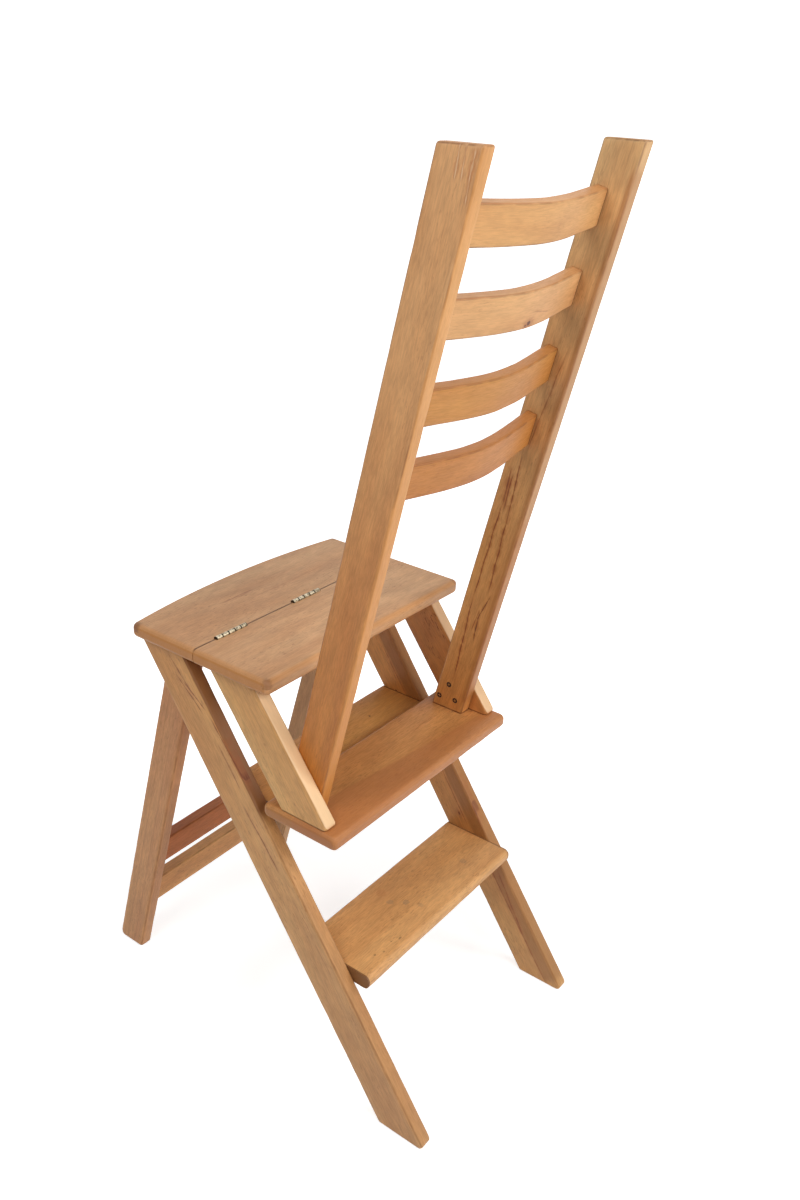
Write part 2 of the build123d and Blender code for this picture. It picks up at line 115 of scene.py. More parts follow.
class Bench:
    """Places and joins shader nodes in one tree."""

    def __init__(self, tree: bpy.types.NodeTree) -> None:
        """Start on an empty tree.

        Args:
            tree: The node tree to fill.
        """
        self.tree = tree
        self.count = 0

    def node(self, kind: str, inputs: dict[Any, Any] | None = None, **settings: Any) -> bpy.types.Node:
        """Add one node.

        Args:
            kind: Blender's node type.
            inputs: Values or sockets, by input name or number.
            **settings: Properties of the node.

        Returns:
            The node.
        """
        made = self.tree.nodes.new(kind)
        made.location = ((self.count % 14) * 190.0, -(self.count // 14) * 280.0)
        self.count += 1
        for name, value in settings.items():
            setattr(made, name, value)
        for name, value in (inputs or {}).items():
            self.feed(made.inputs[name], value)
        return made

    def feed(self, target: Socket, value: Any) -> None:
        """Join a socket to an input, or set the input's value.

        Args:
            target: The input.
            value: A socket, a number, a vector or a colour.
        """
        if isinstance(value, bpy.types.NodeSocket):
            self.tree.links.new(value, target)
        elif target.type == "RGBA":
            target.default_value = (*value, 1.0)
        else:
            target.default_value = value

    def math(self, operation: str, first: Any, second: Any = 0.0, third: Any = 0.0) -> Socket:
        """One arithmetic step, its result unclamped."""
        made = self.node("ShaderNodeMath", {0: first, 1: second, 2: third}, operation=operation)
        return made.outputs[0]

    def times(self, first: Any, second: Any) -> Socket:
        """One value times another."""
        return self.math("MULTIPLY", first, second)

    def over(self, first: Any, second: Any) -> Socket:
        """One value divided by another."""
        return self.math("DIVIDE", first, second)

    def plus(self, first: Any, second: Any) -> Socket:
        """The sum of two values."""
        return self.math("ADD", first, second)

    def minus(self, first: Any, second: Any) -> Socket:
        """One value less another."""
        return self.math("SUBTRACT", first, second)

    def size(self, value: Any) -> Socket:
        """A value without its sign."""
        return self.math("ABSOLUTE", value)

    def vector(self, operation: str, first: Any, second: Any = (0.0, 0.0, 0.0)) -> Socket:
        """One vector step: its vector, or its value where it has only that."""
        made = self.node("ShaderNodeVectorMath", {0: first, 1: second}, operation=operation)
        return made.outputs["Value" if operation in ("DOT_PRODUCT", "LENGTH") else "Vector"]

    def scaled(self, vector: Socket, scale: Place) -> Socket:
        """A vector times a fixed scale for each axis."""
        return self.vector("MULTIPLY", vector, scale)

    def join(self, x: Any, y: Any, z: Any) -> Socket:
        """Three values as a vector."""
        return self.node("ShaderNodeCombineXYZ", {0: x, 1: y, 2: z}).outputs[0]

    def split(self, vector: Socket) -> tuple[Socket, ...]:
        """The three values of a vector."""
        return tuple(self.node("ShaderNodeSeparateXYZ", {0: vector}).outputs)

    def ramp(self, value: Any, low: Any, high: Any, start: float = 0.0, end: float = 1.0) -> Socket:
        """A smooth step of a value.

        Args:
            value: The value.
            low: Where the step starts.
            high: Where it ends.
            start: The result at low.
            end: The result at high.

        Returns:
            The result.
        """
        return self.node(
            "ShaderNodeMapRange",
            {"Value": value, "From Min": low, "From Max": high, "To Min": start, "To Max": end},
            interpolation_type="SMOOTHSTEP",
        ).outputs[0]

    def mix(self, amount: Any, first: Any, second: Any, blend: str = "MIX") -> Socket:
        """Mix two colours."""
        inputs = {0: amount, 6: first, 7: second}
        return self.node("ShaderNodeMix", inputs, data_type="RGBA", blend_type=blend).outputs[2]

    def noise(self, vector: Socket, scale: Place, detail: float = 2.0, roughness: float = 0.5) -> Socket:
        """Smooth noise.

        Args:
            vector: Where it is taken.
            scale: Features for each metre along each axis.
            detail: Finer layers.
            roughness: Their strength.

        Returns:
            The noise, 0 to 1.
        """
        place = self.scaled(vector, scale)
        inputs = {"Vector": place, "Scale": 1.0, "Detail": detail, "Roughness": roughness}
        return self.node("ShaderNodeTexNoise", inputs).outputs[0]

    def sway(self, run: Socket, scale: float) -> Socket:
        """Smooth noise along one line."""
        inputs = {"W": run, "Scale": scale, "Detail": 2.0}
        return self.node("ShaderNodeTexNoise", inputs, noise_dimensions="1D").outputs[0]

    def group(self, tree: bpy.types.ShaderNodeTree, inputs: dict[str, Any]) -> Puts:
        """Place a shared group with its own values, and give its outputs by name."""
        made = self.node("ShaderNodeGroup", inputs, node_tree=tree)
        return {put.name: put for put in made.outputs}

    def point(self) -> Socket:
        """The shaded point in the row frame."""
        return self.node("ShaderNodeTexCoord").outputs["Object"]

    def bump(self, height: Socket, strength: float, distance: float) -> Socket:
        """A normal that follows a height."""
        inputs = {"Height": height, "Strength": strength, "Distance": distance}
        return self.node("ShaderNodeBump", inputs).outputs[0]

    def surface(self, inputs: dict[str, Any]) -> None:
        """End the tree in one Principled surface."""
        shader = self.node("ShaderNodeBsdfPrincipled", inputs)
        self.node("ShaderNodeOutputMaterial", {"Surface": shader.outputs[0]})


def fresh_bench(owner: bpy.types.Material | bpy.types.World) -> Bench:
    """A bench on the emptied tree of a material or a world.

    Args:
        owner: The material or world.

    Returns:
        The bench.
    """
    owner.use_nodes = True
    owner.node_tree.nodes.clear()
    return Bench(owner.node_tree)


def node_group(
    name: str, fill: Callable[[Bench, Puts], Puts], inputs: dict[str, Any]
) -> bpy.types.ShaderNodeTree:
    """Make a shader node group with named sockets.

    Args:
        name: The group's name.
        fill: Builds the inside from the inputs, and returns the outputs by name.
        inputs: Its inputs with their first values; three numbers make a vector.

    Returns:
        The group's tree.
    """
    tree = bpy.data.node_groups.new(name, "ShaderNodeTree")
    for label, value in inputs.items():
        kind = "NodeSocketVector" if isinstance(value, tuple) else "NodeSocketFloat"
        tree.interface.new_socket(label, in_out="INPUT", socket_type=kind).default_value = value
    bench = Bench(tree)
    entry = bench.node("NodeGroupInput")
    made = fill(bench, {label: entry.outputs[label] for label in inputs})
    for label, socket in made.items():
        kind = "NodeSocketVector" if socket.type == "VECTOR" else "NodeSocketFloat"
        tree.interface.new_socket(label, in_out="OUTPUT", socket_type=kind)
    bench.node("NodeGroupOutput", made)
    return tree


# Distances from a board's edge or end where a line starts to show, and where it is full
CUT_END = (0.0012, 0.0002)
FOOT_LINE = (0.0026, 0.0008)
BUTT_LINE = (0.0034, 0.0010)
ARRIS_LINE = (0.0028, 0.0010)


def fill_board_space(bench: Bench, put: Puts) -> Puts:
    """Turn a point of the chair into through-thickness, across-width and along-grain metres.

    Args:
        bench: The bench of the group's tree.
        put: The group's inputs.

    Returns:
        The group's outputs.
    """
    offset = bench.vector("SUBTRACT", put["Point"], put["Origin"])
    through, across, along = (
        bench.vector("DOT_PRODUCT", offset, put[axis]) for axis in ("Through", "Across", "Along")
    )
    share = bench.size(bench.over(along, put["Half Span"]))
    squared = bench.times(bench.minus(put["End Rise"], put["Bow"]), 3.0)
    cubed = bench.minus(bench.times(put["Bow"], 2.0), bench.times(put["End Rise"], 3.0))
    fall = bench.math("MULTIPLY_ADD", share, cubed, squared)
    sag = bench.math("MULTIPLY_ADD", bench.times(share, share), fall, put["Bow"])
    return {"Board Vector": bench.join(bench.minus(through, sag), across, along)}


def fill_beech_figure(bench: Bench, put: Puts) -> Puts:
    """Growth rings round the tree's heart, fibres, ray flecks and slow changes of tone.

    Args:
        bench: The bench of the group's tree.
        put: The group's inputs.

    Returns:
        The group's outputs.
    """
    board, seed = put["Board"], put["Seed"]
    shift = bench.join(bench.times(seed, 0.137), bench.times(seed, 0.291), bench.times(seed, 1.73))
    seeded = bench.vector("ADD", board, shift)
    slow = bench.noise(seeded, (9.0, 9.0, 2.1)).node.outputs["Color"]
    drift = bench.vector("SUBTRACT", slow, (0.5, 0.5, 0.5))
    bend = bench.node("ShaderNodeVectorMath", {0: drift, "Scale": put["Wander"]}, operation="SCALE")
    from_heart = bench.vector("SUBTRACT", bench.vector("ADD", board, bend.outputs[0]), put["Heart"])
    radius = bench.vector("LENGTH", bench.scaled(from_heart, (1.0, 1.0, 0.0)))
    phase = bench.over(radius, put["Ring Pitch"])
    late = bench.ramp(bench.math("FRACT", phase), 0.35, 0.93)
    sharp = bench.ramp(bench.math("FRACT", phase), 1.0, 0.93)
    year = bench.node("ShaderNodeTexWhiteNoise", {"W": bench.math("FLOOR", phase)}, noise_dimensions="1D")
    strength = bench.ramp(year.outputs["Value"], 0.0, 1.0, 0.25, 1.0)
    fine = bench.noise(seeded, (640.0, 640.0, 60.0), 3.0, 0.65)
    coarse = bench.noise(seeded, (330.0, 330.0, 14.0))
    dash = bench.noise(seeded, (560.0, 560.0, 120.0), 1.0)
    flock = bench.noise(seeded, (26.0, 26.0, 9.0), 1.0)
    flecks = bench.times(bench.ramp(dash, 0.60, 0.70), bench.ramp(flock, 0.36, 0.62))
    return {
        "Rings": bench.times(bench.times(late, sharp), strength),
        "Fibre": bench.plus(bench.ramp(fine, 0.3, 0.7, 0.0, 0.86), bench.ramp(coarse, 0.2, 0.8, 0.0, 0.14)),
        "Flecks": flecks,
        "Tone": bench.ramp(bench.noise(seeded, (17.0, 17.0, 2.6), 2.0, 0.55), 0.3, 0.7),
        "Mottle": bench.ramp(bench.noise(seeded, (70.0, 70.0, 26.0), 3.0, 0.6), 0.3, 0.7, -1.0, 1.0),
        "Relief": bench.minus(bench.times(fine, 0.7), bench.times(flecks, 0.5)),
    }


def fill_board_edges(bench: Bench, put: Puts) -> Puts:
    """How near a point is to a board's long edges and to its cut ends.

    Args:
        bench: The bench of the group's tree.
        put: The group's inputs.

    Returns:
        The group's outputs.
    """
    through, across, along = bench.split(put["Board"])
    level = bench.minus(along, bench.times(across, put["End Slope"]))
    thick, wide, end = (
        bench.minus(put[half], bench.size(place))
        for place, half in ((through, "Half Thickness"), (across, "Half Width"), (level, "Half Length"))
    )
    end_edge = bench.math("MINIMUM", bench.math("MAXIMUM", thick, end), bench.math("MAXIMUM", wide, end))
    nearest = bench.math("MINIMUM", bench.math("MAXIMUM", thick, wide), end_edge)
    return {
        "Edge": bench.ramp(nearest, put["Reach"], 0.0),
        "End": bench.ramp(end, *CUT_END),
        "Foot": bench.ramp(bench.minus(put["Half Length"], level), *FOOT_LINE),
        "Butt": bench.ramp(end, *BUTT_LINE),
        "Arris": bench.ramp(nearest, *ARRIS_LINE),
    }


def fill_hand_wear(bench: Bench, put: Puts) -> Puts:
    """Edges rubbed pale in places, and dirt and oil gathered in others.

    Args:
        bench: The bench of the group's tree.
        put: The group's inputs.

    Returns:
        The group's outputs.
    """
    shifted = bench.vector("ADD", put["Board"], (3.1, 1.7, 0.9))
    broken = bench.ramp(bench.noise(shifted, (60.0, 60.0, 24.0), 3.0, 0.6), 0.42, 0.62)
    pool = bench.ramp(bench.noise(put["Board"], (22.0, 22.0, 11.0)), 0.45, 0.75)
    return {
        "Rubbed": bench.times(bench.times(put["Edge"], broken), put["Amount"]),
        "Grime": bench.times(pool, put["Amount"]),
    }


def on_face(bench: Bench, through: Socket, face: Socket) -> Socket:
    """1 on the face that a mark keeps to, or on both faces where it has none."""
    return bench.math("GREATER_THAN", bench.times(through, face), -0.001)


def fill_streak(bench: Bench, put: Puts) -> Puts:
    """A thin dark line that wanders along the grain, breaks up and has a soft brown surround.

    Args:
        bench: The bench of the group's tree.
        put: The group's inputs.

    Returns:
        The group's outputs.
    """
    through, across, along = bench.split(put["Board"])
    lean = bench.times(bench.minus(along, put["Along"]), put["Slope"])
    across = bench.minus(across, lean)
    run = bench.plus(along, put["Seed"])
    off = bench.times(bench.minus(bench.sway(run, 21.0), 0.5), put["Wander"])
    side = bench.size(bench.minus(bench.minus(across, put["Across"]), off))
    breadth = bench.times(put["Breadth"], bench.ramp(bench.sway(run, 75.0), 0.25, 0.7, 0.25, 1.0))
    line = bench.ramp(bench.over(side, breadth), 1.0, 0.25)
    glow = bench.ramp(bench.over(side, breadth), 4.0, 0.5)
    reach = bench.size(bench.minus(along, put["Along"]))
    ends = bench.ramp(bench.over(reach, put["Half Length"]), 1.0, 0.55)
    broken = bench.ramp(bench.noise(put["Board"], (700.0, 700.0, 60.0)), 0.3, 0.6, 0.45, 1.0)
    shown = bench.times(ends, on_face(bench, through, put["Face"]))
    return {"Mask": bench.times(bench.times(line, shown), broken), "Glow": bench.times(glow, shown)}


def fill_round_mark(bench: Bench, put: Puts) -> Puts:
    """A round or oval patch with a ragged rim, on one face or both.

    Args:
        bench: The bench of the group's tree.
        put: The group's inputs.

    Returns:
        The group's outputs.
    """
    through, across, along = bench.split(put["Board"])
    left = bench.minus(across, put["Across"])
    down = bench.over(bench.minus(along, put["Along"]), put["Stretch"])
    spread = bench.math("SQRT", bench.plus(bench.times(left, left), bench.times(down, down)))
    rag = bench.ramp(bench.noise(put["Board"], (420.0, 420.0, 240.0)), 0.2, 0.8, 0.75, 1.3)
    share = bench.over(bench.times(spread, rag), put["Radius"])
    mask = bench.times(bench.ramp(share, 1.0, put["Core"]), on_face(bench, through, put["Face"]))
    return {"Mask": mask, "Rim": bench.times(bench.ramp(share, 0.45, 0.85), mask)}


def fill_patina(bench: Bench, put: Puts) -> Puts:
    """Tarnish in patches and fine scratches on old metal.

    Args:
        bench: The bench of the group's tree.
        put: The group's inputs.

    Returns:
        The group's outputs.
    """
    cloud = bench.noise(put["Point"], (260.0, 420.0, 420.0), 3.0, 0.6)
    hair = bench.noise(put["Point"], (5200.0, 420.0, 420.0), 1.0)
    return {
        "Tarnish": bench.times(bench.ramp(cloud, 0.40, 0.66), put["Amount"]),
        "Scratch": bench.ramp(hair, 0.45, 0.8),
    }


class Workshop:
    """Node groups that the chair's finishes share, each made once."""

    def __init__(self) -> None:
        """Make every group."""
        board = {"Board": (0, 0, 0)}
        spot = {**board, "Across": 0.0, "Along": 0.0}
        self.board_space = node_group("board_space", fill_board_space, {
            "Point": (0, 0, 0), "Origin": (0, 0, 0), "Through": (0, 0, 1), "Across": (0, 1, 0),
            "Along": (1, 0, 0), "Bow": 0.0, "End Rise": 0.0, "Half Span": 1.0,
        })
        self.figure = node_group("beech_figure", fill_beech_figure, {
            **board, "Heart": (0, 0, 0), "Seed": 0.0, "Ring Pitch": 0.006, "Wander": 0.01,
        })
        self.edges = node_group("board_edges", fill_board_edges, {
            **board, "Half Thickness": 0.0, "Half Width": 0.0, "Half Length": 0.0, "End Slope": 0.0,
            "Reach": 0.006,
        })
        self.wear = node_group("hand_wear", fill_hand_wear, {**board, "Edge": 0.0, "Amount": 1.0})
        self.streak = node_group("mineral_streak", fill_streak, {
            **spot, "Half Length": 0.0, "Breadth": 0.0, "Wander": 0.0, "Seed": 0.0, "Face": 0.0, "Slope": 0.0,
        })
        self.round_mark = node_group("round_mark", fill_round_mark, {
            **spot, "Radius": 0.0, "Stretch": 1.0, "Core": 0.0, "Face": 0.0,
        })
        self.patina = node_group("old_metal", fill_patina, {"Point": (0, 0, 0), "Amount": 1.0})


@dataclass(frozen=True)
class BoardSpace:
    """Where a board lies: its middle, its three directions and its half sizes, in metres."""

    origin: Vector
    through: Vector
    across: Vector
    along: Vector
    half_thickness: float
    half_width: float
    half_length: float
    end_slope: float = 0.0
    bow: float = 0.0
    end_rise: float = 0.0

    def sag(self, along: float) -> float:
        """How far the board bows to the rear at a distance from its middle.

        Args:
            along: The distance.

        Returns:
            The bow there.
        """
        share = abs(along) / self.half_length
        fall = 3 * (self.end_rise - self.bow) + share * (2 * self.bow - 3 * self.end_rise)
        return self.bow + share ** 2 * fall

    def local(self, point: Vector) -> Vector:
        """A point of the chair in the board's own directions.

        Args:
            point: A place in the row frame.

        Returns:
            Its distances through, across and along the board.
        """
        offset = point - self.origin
        along = offset.dot(self.along)
        return Vector((offset.dot(self.through) - self.sag(along), offset.dot(self.across), along))


@dataclass(frozen=True)
class Mark:
    """One mark on a board, placed by a point of the chair, or by both ends where it is long.

    A face of 1 or -1 keeps it to the side that faces that way through the board, and 0 marks both.
    """

    kind: MarkKind
    at: Place
    size: float
    until: Place | None = None
    strength: float = 1.0
    face: int = 0
    wander: float = 0.003
    stretch: float = 1.0
    paint: Colour | None = None


def streaks(x: float, face: int, rows: Rows, paint: Colour | None = None) -> list[Mark]:
    """Streaks on one face of a slanted board.

    Args:
        x: The face's place across the chair.
        face: The side of the board, as in Mark.
        rows: For each streak, y and z of its start and of its end, its breadth, strength and wander.
        paint: Its colour where it isn't a dark line.

    Returns:
        The marks.
    """
    return [
        Mark(MarkKind.STREAK, (x, y, z), breadth, (x, to_y, to_z), strength, face, wander, paint=paint)
        for y, z, to_y, to_z, breadth, strength, wander in rows
    ]


def spots(kind: MarkKind, z: float, rows: Rows, paint: Colour | None = None) -> list[Mark]:
    """Round marks on the upper face of a level board.

    Args:
        kind: What they are.
        z: The face's height.
        rows: For each mark, its x and y, its radius, its strength and how far it is stretched.
        paint: Its colour where it isn't the kind's own.

    Returns:
        The marks.
    """
    return [
        Mark(kind, (x, y, z), radius, strength=strength, face=1, stretch=stretch, paint=paint)
        for x, y, radius, strength, stretch in rows
    ]


def shade(*display: int) -> Colour:
    """A display colour as linear light.

    Args:
        *display: Red, green and blue, 0 to 255.

    Returns:
        The linear colour.
    """
    shares = (value / 255.0 for value in display)
    return tuple(share / 12.92 if share <= 0.04045 else ((share + 0.055) / 1.055) ** 2.4 for share in shares)


@dataclass(frozen=True)
class Tone:
    """Colours of one beech board: its pale ground, its deeper ground, its ring lines and its flecks."""

    pale: Colour
    deep: Colour
    ring: Colour
    fleck: Colour


SEAT_TONE = Tone(shade(214, 168, 124), shade(198, 146, 101), shade(178, 122, 80), shade(150, 99, 66))
LEG_TONE = Tone(shade(214, 167, 116), shade(196, 144, 94), shade(172, 117, 72), shade(150, 98, 60))
SIDE_TONE = Tone(shade(216, 172, 120), shade(198, 148, 98), shade(176, 122, 76), shade(146, 96, 60))
STILE_TONE = Tone(shade(214, 161, 105), shade(196, 138, 84), shade(166, 106, 60), shade(140, 86, 48))
SLAT_TONE = Tone(shade(220, 168, 112), shade(205, 148, 94), shade(182, 122, 72), shade(156, 100, 58))
TREAD_TONE = Tone(shade(206, 155, 101), shade(188, 134, 82), shade(162, 108, 64), shade(136, 88, 52))
RUNG_TONE = Tone(shade(200, 150, 104), shade(180, 124, 82), shade(150, 98, 62), shade(126, 80, 50))
DARK_LINE = shade(104, 48, 20)
CRACK_COLOUR = shade(46, 26, 16)
HEART_COLOUR = shade(158, 82, 36)
LEG_HEART = shade(144, 94, 50)
STILE_HEART = shade(150, 88, 42)
KNOT_HALO = shade(150, 88, 48)
SCUFF_COLOUR = shade(226, 196, 158)
RUBBED_COLOUR = shade(226, 184, 134)
GRIME_COLOUR = shade(158, 106, 66)
END_COLOUR = shade(164, 112, 62)
# Over the seat: partly its tone, partly painted shade that darkens it a little.
SEAT_TONE_AND_LIGHT = (0.97, 0.96, 0.93)
SEAT_ARRIS = shade(196, 138, 84)
SEAT_END = shade(182, 116, 46)
# Painted shade over the whole flip tread, which lies under the seat.
FLIP_PAINTED_SHADE = (0.94, 0.81, 0.64)
BAND_COLOUR = shade(172, 106, 62)
# Dark lines at the feet and where board ends butt on others: dirt in the joints and painted shade where the
# parts meet.
JOINT_DIRT_AND_SHADE = shade(92, 56, 32)
ARRIS_COLOUR = shade(104, 58, 28)
LEG_SHADE = shade(130, 80, 42)
# Painted light: a pale colour on rear narrow faces that face the lamps.
PAINTED_LIGHT_EDGE = shade(240, 204, 160)
# Painted light: brightens the near stile's rear narrow face, which faces the lamps.
STILE_PAINTED_LIGHT = shade(222, 156, 84)
SLAT_EDGE = shade(186, 122, 68)
SMUDGE = shade(118, 72, 40)

# Share of its radius that a round mark fills evenly, and its colour
ROUND_MARKS = {
    MarkKind.NAIL: (0.7, shade(58, 40, 30)),
    MarkKind.KNOT: (0.5, shade(80, 36, 22)),
    MarkKind.STAIN: (0.55, shade(136, 114, 88)),
    MarkKind.SCUFF: (0.2, SCUFF_COLOUR),
}
STREAK_FADE = 0.010
STREAK_GLOW = 0.55
SEED_STEP = 37.0
BAND_FADE = 0.020
BAND_RAG = 0.004
SEAM_CORE = 0.3
SEAM_DEPTHS = (0.0025, 0.0005)
HALO_SPREAD = 2.6
HALO_STRETCH = 1.4
HALO_CORE = 0.1
HALO_STRENGTH = 0.55


@dataclass
class Brush:
    """Lays marks over the colour of one board."""

    bench: Bench
    shop: Workshop
    board: Socket
    space: BoardSpace
    seed: float
    colour: Socket

    def lay(self, mark: Mark) -> None:
        """Lay one mark over the colour.

        Args:
            mark: The mark.
        """
        place = self.space.local(Vector(mark.at))
        slope, half_reach = 0.0, 0.0
        if mark.until:
            end = self.space.local(Vector(mark.until))
            slope = (end.y - place.y) / (end.z - place.z)
            half_reach = abs(end.z - place.z) / 2
            place = (place + end) / 2
        if mark.kind is MarkKind.STREAK:
            self.streak(mark, place, slope, half_reach)
        elif mark.kind is MarkKind.BAND:
            self.band(mark, place, slope, half_reach)
        elif mark.kind is MarkKind.SEAM:
            self.seam(mark, place)
        else:
            self.spot(mark, place)

    def cover(self, mask: Socket, strength: float, paint: Colour) -> None:
        """Lay a colour over the board where a mask shows it."""
        self.colour = self.bench.mix(self.bench.times(mask, strength), self.colour, paint)

    def around(self, mark: Mark, place: Vector) -> dict[str, Any]:
        """The inputs that the groups of streaks and of round marks share."""
        return {"Board": self.board, "Across": place.y, "Along": place.z, "Face": float(mark.face)}

    def streak(self, mark: Mark, place: Vector, slope: float, half_reach: float) -> None:
        """A thin line with a brown surround.

        Args:
            mark: The mark.
            place: Its middle on the board.
            slope: How far it moves across for each metre along.
            half_reach: Half its length.
        """
        line = self.bench.group(self.shop.streak, {
            **self.around(mark, place), "Half Length": half_reach + STREAK_FADE, "Breadth": mark.size,
            "Wander": mark.wander, "Seed": place.y * SEED_STEP + self.seed, "Slope": slope,
        })
        self.cover(line["Glow"], mark.strength * STREAK_GLOW, HEART_COLOUR)
        self.cover(line["Mask"], mark.strength, mark.paint or DARK_LINE)

    def band(self, mark: Mark, place: Vector, slope: float, half_reach: float) -> None:
        """Another tone on one side of a line, out to the board's edge.

        Args:
            mark: The mark.
            place: The line's middle on the board.
            slope: How far it moves across for each metre along.
            half_reach: Half its length.
        """
        bench = self.bench
        _, across, along = bench.split(self.board)
        from_middle = bench.minus(along, place.z)
        ragged = bench.times(bench.noise(self.board, (300.0, 300.0, 9.0)), BAND_RAG)
        across = bench.plus(bench.minus(across, bench.times(from_middle, slope)), ragged)
        side = bench.ramp(across, place.y, place.y + mark.size)
        ends = bench.ramp(bench.size(from_middle), half_reach + BAND_FADE, half_reach)
        self.cover(bench.times(side, ends), mark.strength, mark.paint or BAND_COLOUR)

    def seam(self, mark: Mark, place: Vector) -> None:
        """A dark line where two boards meet, at their upper faces only: dirt in the joint and painted shade
        of the opening.

        Args:
            mark: The mark.
            place: Its place on the board.
        """
        bench = self.bench
        through, across, _ = bench.split(self.board)
        line = bench.ramp(bench.size(bench.minus(across, place.y)), mark.size, mark.size * SEAM_CORE)
        upper = bench.ramp(through, *(place.x - depth for depth in SEAM_DEPTHS))
        self.cover(bench.times(line, upper), mark.strength, CRACK_COLOUR)

    def spot(self, mark: Mark, place: Vector) -> None:
        """A nail hole, knot, stain or scuff.

        Args:
            mark: The mark.
            place: Its middle on the board.
        """
        bench = self.bench
        at = self.around(mark, place)
        core, paint = ROUND_MARKS[mark.kind]
        if mark.kind is MarkKind.KNOT:
            halo = bench.group(self.shop.round_mark, {
                **at, "Radius": mark.size * HALO_SPREAD, "Stretch": mark.stretch * HALO_STRETCH,
                "Core": HALO_CORE,
            })
            self.cover(halo["Mask"], HALO_STRENGTH, KNOT_HALO)
        patch = bench.group(self.shop.round_mark, {
            **at, "Radius": mark.size, "Stretch": mark.stretch, "Core": core,
        })
        share = bench.times(patch["Mask"], mark.strength)
        if mark.kind is MarkKind.STAIN:
            share = bench.times(share, bench.ramp(patch["Rim"], 0.0, 1.0, 0.6, 1.0))
        self.colour = bench.mix(share, self.colour, mark.paint or paint)


@dataclass(frozen=True)
class BeechFinish:
    """Oiled beech of one board, with how strong each part of its figure and its wear is."""

    tone: Tone
    sawn: Sawn = Sawn.RIFT
    seed: float = 1.0
    ring_pitch: float = 0.006
    wander: float = 0.012
    ring_strength: float = 0.12
    fibre_strength: float = 0.13
    fleck_strength: float = 0.42
    mottle_strength: float = 0.07
    wear: float = 0.8
    edge_reach: float = 0.006
    roughness: float = 0.42
    arris: Colour | None = None
    end: Colour = END_COLOUR
    # Strengths of the dark lines at the foot and at butting ends: dirt and painted shade where parts meet.
    foot_line: float = 0.65
    butt: float = 0.0
    dark_arris: float = 0.50
    # Multiplied over the board, blended from its top end to its foot: partly the wood's own tone, partly
    # painted light, brighter where more light falls and darker in shade.
    top_tone_and_light: Colour = (1.0, 1.0, 1.0)
    foot_tone_and_light: Colour | None = None

    def material(
        self, name: str, space: BoardSpace, marks: Iterable[Mark], shop: Workshop
    ) -> bpy.types.Material:
        """Build the board's material.

        Args:
            name: The material's name.
            space: Where the board lies.
            marks: Its streaks, knots, stains and scuffs.
            shop: The shared node groups.

        Returns:
            The material.
        """
        made = bpy.data.materials.new(name)
        bench = fresh_bench(made)
        board = bench.group(shop.board_space, {
            "Point": bench.point(), "Origin": space.origin, "Through": space.through,
            "Across": space.across, "Along": space.along, "Bow": space.bow, "End Rise": space.end_rise,
            "Half Span": space.half_length,
        })["Board Vector"]
        figure = bench.group(shop.figure, {
            "Board": board, "Heart": (*self.sawn.value, 0.0), "Seed": self.seed,
            "Ring Pitch": self.ring_pitch, "Wander": self.wander,
        })
        edges = bench.group(shop.edges, {
            "Board": board, "Half Thickness": space.half_thickness, "Half Width": space.half_width,
            "Half Length": space.half_length, "End Slope": space.end_slope, "Reach": self.edge_reach,
        })
        wear = bench.group(shop.wear, {"Board": board, "Edge": edges["Edge"], "Amount": self.wear})
        ground = self.ground(bench, board, space.half_length, {**figure, **edges, **wear})
        brush = Brush(bench, shop, board, space, self.seed, ground)
        for mark in marks:
            brush.lay(mark)
        rough = bench.plus(bench.times(figure["Fibre"], 0.12), self.roughness)
        bench.surface({
            "Base Color": brush.colour, "Roughness": bench.plus(rough, bench.times(wear["Rubbed"], 0.10)),
            "Normal": bench.bump(figure["Relief"], 0.35, 0.0003), "Specular IOR Level": 0.4,
        })
        return made

    def ground(self, bench: Bench, board: Socket, half_length: float, traits: Puts) -> Socket:
        """The board's colour before its marks.

        Args:
            bench: The bench of the board's material.
            board: The point in the board's own directions.
            half_length: Half the board's length.
            traits: The outputs of the groups for its figure, edges and wear.

        Returns:
            The colour.
        """
        tone = self.tone
        colour = bench.mix(traits["Tone"], tone.pale, tone.deep)
        colour = bench.mix(bench.times(traits["Rings"], self.ring_strength), colour, tone.ring)
        light, dark = 1.0 + self.fibre_strength * 0.5, 1.0 - self.fibre_strength
        fibre = bench.ramp(traits["Fibre"], 0.0, 1.0, light, dark)
        fibre = bench.math("MULTIPLY_ADD", traits["Mottle"], self.mottle_strength, fibre)
        colour = bench.mix(1.0, colour, bench.join(fibre, fibre, fibre), "MULTIPLY")
        dirt = bench.ramp(bench.noise(board, (90.0, 90.0, 40.0)), 0.35, 0.60, 0.35, 1.0)
        layers = (
            (traits["Flecks"], self.fleck_strength, tone.fleck),
            (traits["Grime"], 0.22, GRIME_COLOUR),
            (traits["Edge"], 0.75, self.arris) if self.arris else (traits["Rubbed"], 0.28, RUBBED_COLOUR),
            (bench.times(traits["Arris"], dirt), self.dark_arris, ARRIS_COLOUR),
            # Butting ends and feet: dirt and painted shade where parts meet.
            (traits["Butt"], self.butt, JOINT_DIRT_AND_SHADE),
            (traits["End"], 0.7, self.end),
            (traits["Foot"], self.foot_line, JOINT_DIRT_AND_SHADE),
        )
        for mask, strength, paint in layers:
            colour = bench.mix(bench.times(mask, strength), colour, paint)
        # Painted light and tone: the board made brighter or darker from its top end to its foot.
        down = bench.ramp(bench.split(board)[2], -half_length, half_length)
        tone_and_light = bench.mix(down, self.top_tone_and_light, self.foot_tone_and_light or self.top_tone_and_light)
        return bench.mix(1.0, colour, tone_and_light, "MULTIPLY")


# Painted shade in the slits between a hinge's knuckles.
KNUCKLE_SLIT_SHADE = shade(52, 40, 26)
LEAF_METAL = shade(176, 164, 132)
KNUCKLE_PITCH = 0.01086
KNUCKLES = 5
BARREL_FOOT = 0.5962
BARREL_RISE = 0.0008


